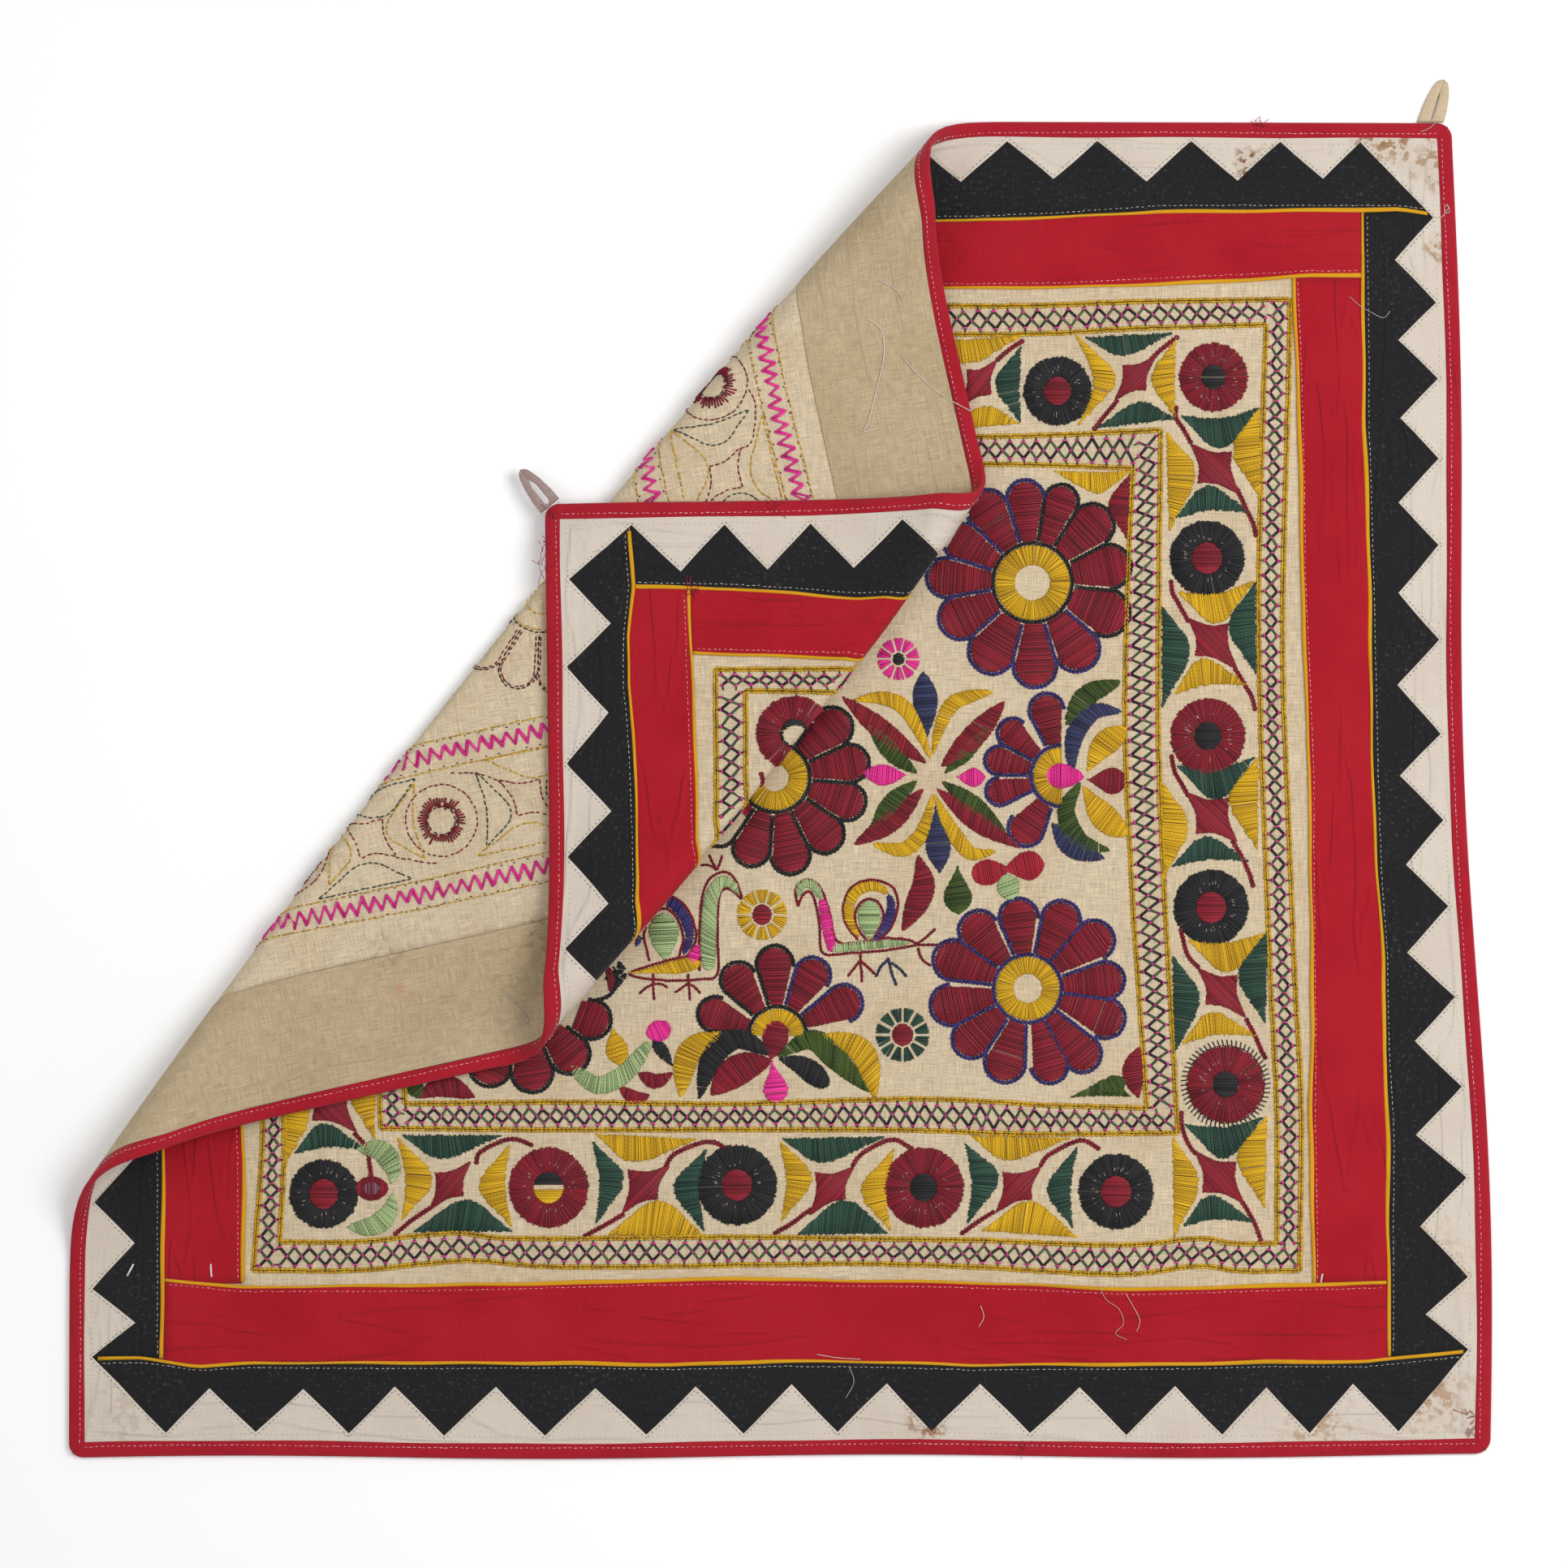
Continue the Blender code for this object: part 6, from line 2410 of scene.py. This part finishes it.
    def rosettes(self) -> None:
        """Sews the three small rosettes of wedges round a filled centre."""
        for centre, radius, inner, wedge, heart, number in (
            ((1107, 812), 26, 7, Threads.MAGENTA, Threads.BLACK, 10),
            ((939, 1127), 31, 12, Threads.YELLOW, Threads.MAROON, 10),
            ((1112, 1275), 33, 13, Threads.GREEN, Threads.MAROON, 12),
        ):
            middle = drawn(centre)
            step = 360 / number
            for i in range(number):
                start, turn = i * step + 3, step - 6
                first = circle(middle, (inner + 3) / 2, start + 4, turn - 8)
                last = circle(middle, radius / 2, start, turn)
                NEEDLE.fill(wedge, first, last, pitch=1.0, ragged=0.3)
            left, right = circle(middle, inner / 2, 90, 180), circle(middle, inner / 2, 90, -180)
            NEEDLE.fill(heart, left, right, pitch=1.0)

    def small_leaves(self) -> None:
        """Sews the leaves, drops and bow between the large motifs, and the corner leaves."""
        for thread, spine, width, widest, blunt in (
            (Threads.MAROON, ((1132, 1054), (1137, 1095), (1112, 1146)), 29, 0.5, 0.8),
            (Threads.OLIVE, ((1180, 1067), (1180, 1100), (1180, 1126)), 34, 0.66, 0.8),
            (Threads.CRIMSON, ((1198, 1075), (1216, 1075), (1242, 1071)), 31, 0.38, 0.7),
            (Threads.CRIMSON, ((1236, 1071), (1262, 1067), (1286, 1066)), 36, 0.64, 0.7),
            (Threads.SAGE, ((1238, 1078), (1242, 1092), (1246, 1108)), 27, 0.5, 0.5),
            (Threads.OLIVE, ((1350, 1345), (1366, 1338), (1388, 1332)), 22, 0.6, 0.9),
            (Threads.MAROON, ((1404, 1290), (1396, 1320), (1402, 1352)), 26, 0.5, 0.9),
            (Threads.OLIVE, ((505, 1330), (514, 1344), (520, 1352)), 20, 0.5, 0.8),
            (Threads.MAROON, ((515, 1352), (548, 1338), (585, 1352)), 26, 0.5, 0.9),
        ):
            Leaf(thread, spine, width, widest, blunt).sew()
        for thread, first, last in (
            (Threads.YELLOW, ((1298, 580), (1350, 582), (1394, 580)),
             ((1298, 580), (1332, 600), (1352, 608), (1366, 602), (1394, 580))),
            (Threads.MAROON, ((1392, 584), (1391, 630), (1391, 668)),
             ((1392, 584), (1372, 608), (1366, 626), (1378, 648), (1391, 668))),
            (Threads.OLIVE, ((1318, 1352), (1352, 1350), (1394, 1351)),
             ((1318, 1352), (1345, 1338), (1362, 1330), (1378, 1338), (1394, 1351))),
        ):
            NEEDLE.fill(thread, smooth_line(drawn(first)), smooth_line(drawn(last)), ragged=0.6)

    def crescent_bird(self) -> None:
        """Sews the small crescent bird."""
        spine = ((704, 1312), (722, 1330), (740, 1337), (766, 1326), (786, 1304), (800, 1284))
        Leaf(Threads.SAGE, spine, 22, 0.5, 0.35, 0.0).sew()
        Leaf(Threads.MAGENTA, ((797, 1272), (812, 1270), (824, 1262)), 26, 0.5, 0.5).sew()
        Leaf(Threads.BLACK, ((806, 1282), (818, 1298), (828, 1313)), 15, 0.35, 0.8).sew()
        Leaf(Threads.YELLOW, ((755, 1267), (760, 1292), (764, 1312)), 27, 0.62, 0.8).sew()
        Leaf(Threads.MAROON, ((788, 1322), (808, 1332), (829, 1322)), 18, 0.45, 0.8).sew()
        Leaf(Threads.MAROON, ((764, 1340), (782, 1352), (800, 1350)), 16, 0.5, 0.7).sew()

    def left_peacock(self) -> None:
        """Sews the bird left of the yellow rosette."""
        outline = Threads.MAROON
        Leaf(Threads.YELLOW, ((774, 1199), (820, 1193), (864, 1187)), 17, 0.75, 0.6).sew()
        spine = ((873, 1196), (873, 1150), (876, 1110), (886, 1088), (900, 1088), (911, 1103))
        Leaf(Threads.SAGE, spine, 19, 0.3, 0.35, 0.0).sew()
        for spots in (
            ((862, 1196), (862, 1150), (865, 1108), (874, 1084), (892, 1074), (906, 1084), (914, 1106)),
            ((914, 1108), (903, 1098), (893, 1095), (886, 1106), (884, 1150), (884, 1200), (862, 1207)),
            ((862, 1207), (820, 1208), (775, 1200), (820, 1184), (858, 1176)),
            ((778, 1160), (792, 1124), (820, 1103), (846, 1118), (858, 1152), (848, 1178)),
            ((800, 1184), (794, 1150), (808, 1124), (822, 1120), (836, 1134), (842, 1158), (836, 1180)),
        ):
            NEEDLE.draw(outline, spots, width=2.1, pitch=2.2)
        for spots in (
            ((883, 1072), (874, 1066), (864, 1066)), ((883, 1072), (878, 1062), (874, 1053)),
            ((883, 1072), (888, 1062), (890, 1054)), ((805, 1200), (805, 1216), (806, 1232)),
            ((805, 1212), (797, 1216), (788, 1224)), ((805, 1212), (815, 1212), (823, 1217)),
            ((848, 1200), (849, 1216), (850, 1232)), ((848, 1212), (840, 1217), (832, 1223)),
            ((848, 1212), (856, 1216), (863, 1224)),
        ):
            NEEDLE.draw(outline, spots, width=2.0, pitch=2.6)
        band = ((784, 1166), (796, 1132), (820, 1111), (840, 1124), (850, 1152), (842, 1176))
        Leaf(Threads.VIOLET, band, 13, 0.5, 0.3, 0.0).sew()
        Leaf(Threads.SAGE, ((817, 1126), (818, 1150), (819, 1182)), 36, 0.38, 0.75, 0.0).sew()
        Leaf(Threads.MAGENTA, ((862, 1164), (856, 1176), (852, 1186)), 14, 0.6, 0.6).sew()
        for spots in (
            ((770, 1194), (758, 1186), (748, 1184)), ((768, 1197), (756, 1200), (746, 1206)),
            ((772, 1200), (764, 1208), (756, 1218)),
        ):
            Leaf(Threads.BLACK, spots, 8, 0.5, 0.5).sew()

    def right_peacock(self) -> None:
        """Sews the bird right of the yellow rosette."""
        outline = Threads.MAROON
        spine = ((984, 1104), (986, 1092), (996, 1088), (1005, 1094), (1012, 1108))
        Leaf(Threads.SAGE, spine, 11, 0.5, 0.35, 0.0).sew()
        Leaf(Threads.MAGENTA, ((1013, 1108), (1019, 1138), (1025, 1172)), 14, 0.5, 0.25, 0.0).sew()
        Leaf(Threads.SAGE, ((1024, 1169), (1070, 1164), (1120, 1161)), 11, 0.3, 0.35, 0.0).sew()
        for spots in (
            ((983, 1116), (980, 1098), (988, 1086), (1000, 1084), (1012, 1096), (1022, 1124),
             (1030, 1158), (1052, 1162), (1090, 1156), (1118, 1158), (1130, 1163)),
            ((983, 1116), (990, 1102), (998, 1098), (1004, 1110), (1010, 1140), (1014, 1174),
             (1050, 1174), (1090, 1171), (1130, 1164)),
            ((1057, 1158), (1042, 1138), (1039, 1116), (1048, 1094), (1066, 1085), (1086, 1086),
             (1102, 1096), (1106, 1118), (1098, 1142), (1082, 1160)),
            ((1068, 1160), (1055, 1140), (1054, 1124), (1064, 1109), (1078, 1109), (1088, 1122),
             (1086, 1140), (1074, 1160)),
        ):
            NEEDLE.draw(outline, spots, width=2.1, pitch=2.2)
        band = ((1058, 1154), (1047, 1134), (1047, 1112), (1058, 1096), (1078, 1092), (1094, 1100))
        Leaf(Threads.YELLOW, band, 13, 0.5, 0.3, 0.0).sew()
        band = ((1095, 1102), (1098, 1120), (1090, 1142), (1076, 1160))
        Leaf(Threads.VIOLET, band, 12, 0.5, 0.4, 0.0).sew()
        Leaf(Threads.SAGE, ((1071, 1110), (1071, 1130), (1071, 1158)), 28, 0.38, 0.75, 0.0).sew()
        for thread, spots in (
            (outline, ((1130, 1163), (1142, 1154), (1152, 1144))),
            (outline, ((1130, 1164), (1144, 1164), (1158, 1164))),
            (outline, ((1131, 1168), (1136, 1182), (1147, 1190))),
            (outline, ((1060, 1176), (1061, 1194), (1062, 1210))),
            (outline, ((1060, 1184), (1052, 1193), (1045, 1203))),
            (outline, ((1060, 1184), (1070, 1192), (1078, 1200))),
            (Threads.NAVY, ((1094, 1180), (1098, 1196), (1104, 1214))),
            (Threads.NAVY, ((1094, 1182), (1086, 1190), (1079, 1203))),
            (Threads.NAVY, ((1098, 1186), (1108, 1193), (1117, 1203))),
        ):
            NEEDLE.draw(thread, spots, width=2.2, pitch=2.6)


@dataclass
class BorderBand:
    """The band of discs and figures between the two lattices."""

    def sew(self) -> None:
        """Sews the discs and the figures of the four sides."""
        maroon, black, yellow = Threads.MAROON, Threads.BLACK, Threads.YELLOW
        for centre, radius, inner, dark in (
            ((1495, 465), 42, 15, False), ((1487, 688), 46, 19, True), ((1488, 907), 46, 17, False),
            ((1492, 1118), 46, 19, True), ((1510, 1336), 47, 16, False), ((399, 1471), 42, 18, True),
            ((676, 1463), 49, 19, False), ((908, 1460), 49, 19, True), ((1138, 1463), 49, 17, False),
            ((1375, 1468), 46, 19, True), ((1303, 482), 42, 17, True), ((393, 435), 46, 17, False),
            ((626, 465), 44, 17, True), ((852, 456), 45, 17, False), ((400, 1085), 44, 17, True),
            ((399, 680), 44, 17, True), ((399, 894), 44, 17, False),
        ):
            ring, heart = (black, maroon) if dark else (maroon, black)
            heart = yellow if centre == (676, 1463) else heart
            Disc(centre, radius, inner, ring, heart).sew()
        self.hairs()
        column, row, short = Form
        for i, (centre, form, swapped) in enumerate((
            ((1494, 579), column, False), ((1490, 795), column, True), ((1490, 1010), column, False),
            ((1502, 1225), column, True), ((1500, 1452), column, False), ((1255, 1460), row, True),
            ((1025, 1460), row, False), ((795, 1460), row, True), ((556, 1457), row, False),
            ((1398, 467), short, False), ((1207, 472), short, True), ((405, 1365), column, False),
            ((512, 450), row, False), ((398, 560), column, True), ((400, 788), column, False),
            ((395, 990), column, True), ((738, 458), row, True), ((968, 462), row, False),
        )):
            Cell(centre, form, swapped, i).sew()
        Leaf(maroon, ((438, 1464), (458, 1464), (478, 1464)), 29, 0.5, 0.5, 0.0).sew()
        Leaf(Threads.BLUE, ((448, 1464), (458, 1464), (468, 1464)), 16, 0.5, 0.5, 0.0).sew()
        Leaf(Threads.SAGE, ((440, 1416), (470, 1418), (484, 1440), (482, 1458)), 26, 0.5, 0.7, 0.0).sew()
        Leaf(Threads.SAGE, ((428, 1512), (462, 1510), (480, 1492), (484, 1470)), 24, 0.5, 0.7, 0.0).sew()

    def hairs(self) -> None:
        """Sews the black hairs round the disc near the bottom right corner."""
        centre = drawn((1510, 1336))
        work = NEEDLE.use(Technique.RUNNING, Threads.BLACK)
        ways = ways_at(np.linspace(0, 2 * math.pi, 58, endpoint=False))
        lean = to_left(ways) * 0.8
        flat = np.stack([centre + ways * 23.6, centre + ways * 27.6 + lean], axis=1)
        work.add(flat, CLOTH_TOP + 0.35, 0.5)
        work.dashes(circle(centre, 24.0), CLOTH_TOP + 0.5, 2.6, 2.4, 0.42)


@dataclass(frozen=True)
class Topstitching:
    """The running stitches along the bands, the seams and the binding.

    Args:
        on_binding: height of the stitches on the binding over the cloth's back in mm.
        on_white: the same of the dark dashes of painted shade in the needle holes beside the binding.
        at_seam: the same of the dark dashes of painted shade along the zigzag seam.
        on_black: the same of the stitches on the black bands.
        on_red: the same of those on the red bands.
        pitch: distance from stitch to stitch in mm.
        dash: length of a stitch in mm.
    """

    on_binding: float = 4.05
    on_white: float = 3.14
    at_seam: float = 3.22
    on_black: float = 2.46
    on_red: float = 2.9
    pitch: float = 3.3
    dash: float = 2.1

    def sew(self) -> None:
        """Sews the stitches of the four sides."""
        for side in Side:
            self.side(side)

    def row(self, side: Side, depth: Depths | float, start: float, end: float) -> Array:
        """Gives a line along a side, at an even depth or one given for places along it."""
        along = np.linspace(start, end, int((end - start) / 6))
        level = depth(along) if callable(depth) else depth
        return CLOTH.on_side(side, along, level + 0.3 * np.sin(along / 37))

    def beside(self, side: Side, name: str, outer: str | float, inset: float) -> Array:
        """Gives a line at an inset from a band's inner edge, as long as the band's piping."""
        band = BANDS[side]
        depth = getattr(band, name)
        start, end = strip_ends(side, outer, name, (depth, depth))
        return self.row(side, lambda along: band.edge(name, along) - inset, start + 2, end - 2)

    def side(self, side: Side) -> None:
        """Sews all the rows of one side."""
        length = CLOTH.length(side)
        pink = NEEDLE.use(Technique.RUNNING, Threads.PINK)
        white = NEEDLE.use(Technique.RUNNING, Threads.WHITE)
        # The SHADOW thread paints the shade of needle holes as dark dashes, beside the binding and along
        # the zigzag seam.
        marks = NEEDLE.use(Technique.RUNNING, Threads.SHADOW)
        inner = self.row(side, 6.7, 9, length - 9)
        pink.dashes(inner, self.on_binding, self.pitch, self.dash, 0.32)
        back = NEEDLE.use(Technique.REVERSE, Threads.PINK)
        back.dashes(inner, -0.15, self.pitch, self.dash, 0.32)
        marks.dashes(self.row(side, 13.4, 14, length - 14), self.on_white, 3.2, 1.6, 0.22)
        line = SEAMS.line(side)
        zigzag = CLOTH.on_side(side, line[:, 0], line[:, 1] - 2.4)
        marks.dashes(zigzag, self.at_seam, 3.0, 1.8, 0.27, 0.1)
        row = self.beside(side, "black", CORNER_PIPING, 4.3)
        white.dashes(row, self.on_black, self.pitch, self.dash, 0.28)
        row = self.beside(side, "red", "black", 3.4 if side is Side.RIGHT else 4.2)
        pink.dashes(row, self.on_red, self.pitch, self.dash, 0.28)


@dataclass
class LooseThreads:
    """Loose and frayed threads, and tacks, where the hanging shows them."""

    def sew(self) -> None:
        """Lays every loose thread."""
        white = NEEDLE.use(Technique.LOOSE, Threads.WHITE)
        for spots, height in (
            (((1352, 1578), (1362, 1600), (1378, 1612), (1384, 1630), (1374, 1642), (1388, 1650)), 3.2),
            (((1386, 1592), (1394, 1606), (1404, 1626), (1400, 1640)), 3.2),
            (((1662, 366), (1676, 378), (1690, 386), (1704, 392), (1712, 384)), 3.1),
            (((1046, 1682), (1052, 1702), (1042, 1722)), 3.0),
            (((1006, 1668), (1030, 1672), (1060, 1674)), 3.2),
            (((1208, 1608), (1212, 1622), (1206, 1634)), 3.2),
            (((1749, 163), (1758, 160), (1765, 155), (1768, 151)), 4.3),
            (((1773, 270), (1779, 264), (1784, 256), (1780, 254), (1779, 262), (1785, 262),
              (1782, 252)), 4.2),
        ):
            white.stray(drawn(spots), height)
        for spots in (((157, 1572), (165, 1557)), ((260, 1557), (261, 1573)), ((1627, 1580), (1629, 1569))):
            white.add(drawn([spots]), 3.0, 0.8)
        back = NEEDLE.use(Technique.REVERSE, Threads.WHITE)
        for spots in (
            ((1064, 392), (1084, 408), (1088, 440), (1080, 480), (1070, 520), (1064, 532), (1078, 530)),
            ((1110, 440), (1130, 462), (1160, 488), (1196, 508)),
            ((1076, 344), (1100, 358), (1110, 372)),
            ((620, 1218), (640, 1240), (652, 1258), (636, 1262)),
        ):
            back.stray(self.unfolded(drawn(spots)), -0.4, 0.34)
        self.frayed()

    def unfolded(self, plan: Array) -> Array:
        """Gives the flat places that lie at the given places once the corner is folded over."""
        return CLOTH.mirrors(plan)[2]

    def frayed(self) -> None:
        """Lays short crimson fibres where the binding has frayed, in bundles round a spot."""
        work = NEEDLE.use(Technique.LOOSE, Threads.CRIMSON)
        rng = work.random
        for x, y, number, height in (
            (1552, 156, 14, 3.9), (1812, 1742, 9, 4.0), (1808, 1764, 9, 4.0), (1258, 1782, 10, 3.9),
            (88, 196, 12, 3.9), (86, 222, 10, 3.9), (374, 158, 10, 3.9), (270, 256, 16, 3.2),
            (98, 162, 14, 4.0),
        ):
            for _fibre in range(number):
                start = drawn((x, y)) + rng.normal(0, 1.6, 2)
                way = rng.normal(0, 2.0, 2)
                line = np.stack([start, start + way, start + way * 1.9 + rng.normal(0, 1.0, 2)])
                work.groups.append((line[None], np.array([[height, height + 0.5, height - 0.3]]),
                                    np.full((1, 3), 0.22)))


def main() -> None:
    """Builds the hanging piece by piece, then the studio round it."""
    logging.basicConfig(level=logging.INFO, format="%(message)s")
    Studio().build()
    GroundAndLining().build()
    Borders().build()
    Binding().build()
    Loops().build()
    for part in (Field(), BorderBand(), Topstitching(), LooseThreads()):
        part.sew()
    for lattice in (OUTER_LATTICE, INNER_LATTICE):
        lattice.sew()
    NEEDLE.build()


if __name__ == "__main__":
    main()
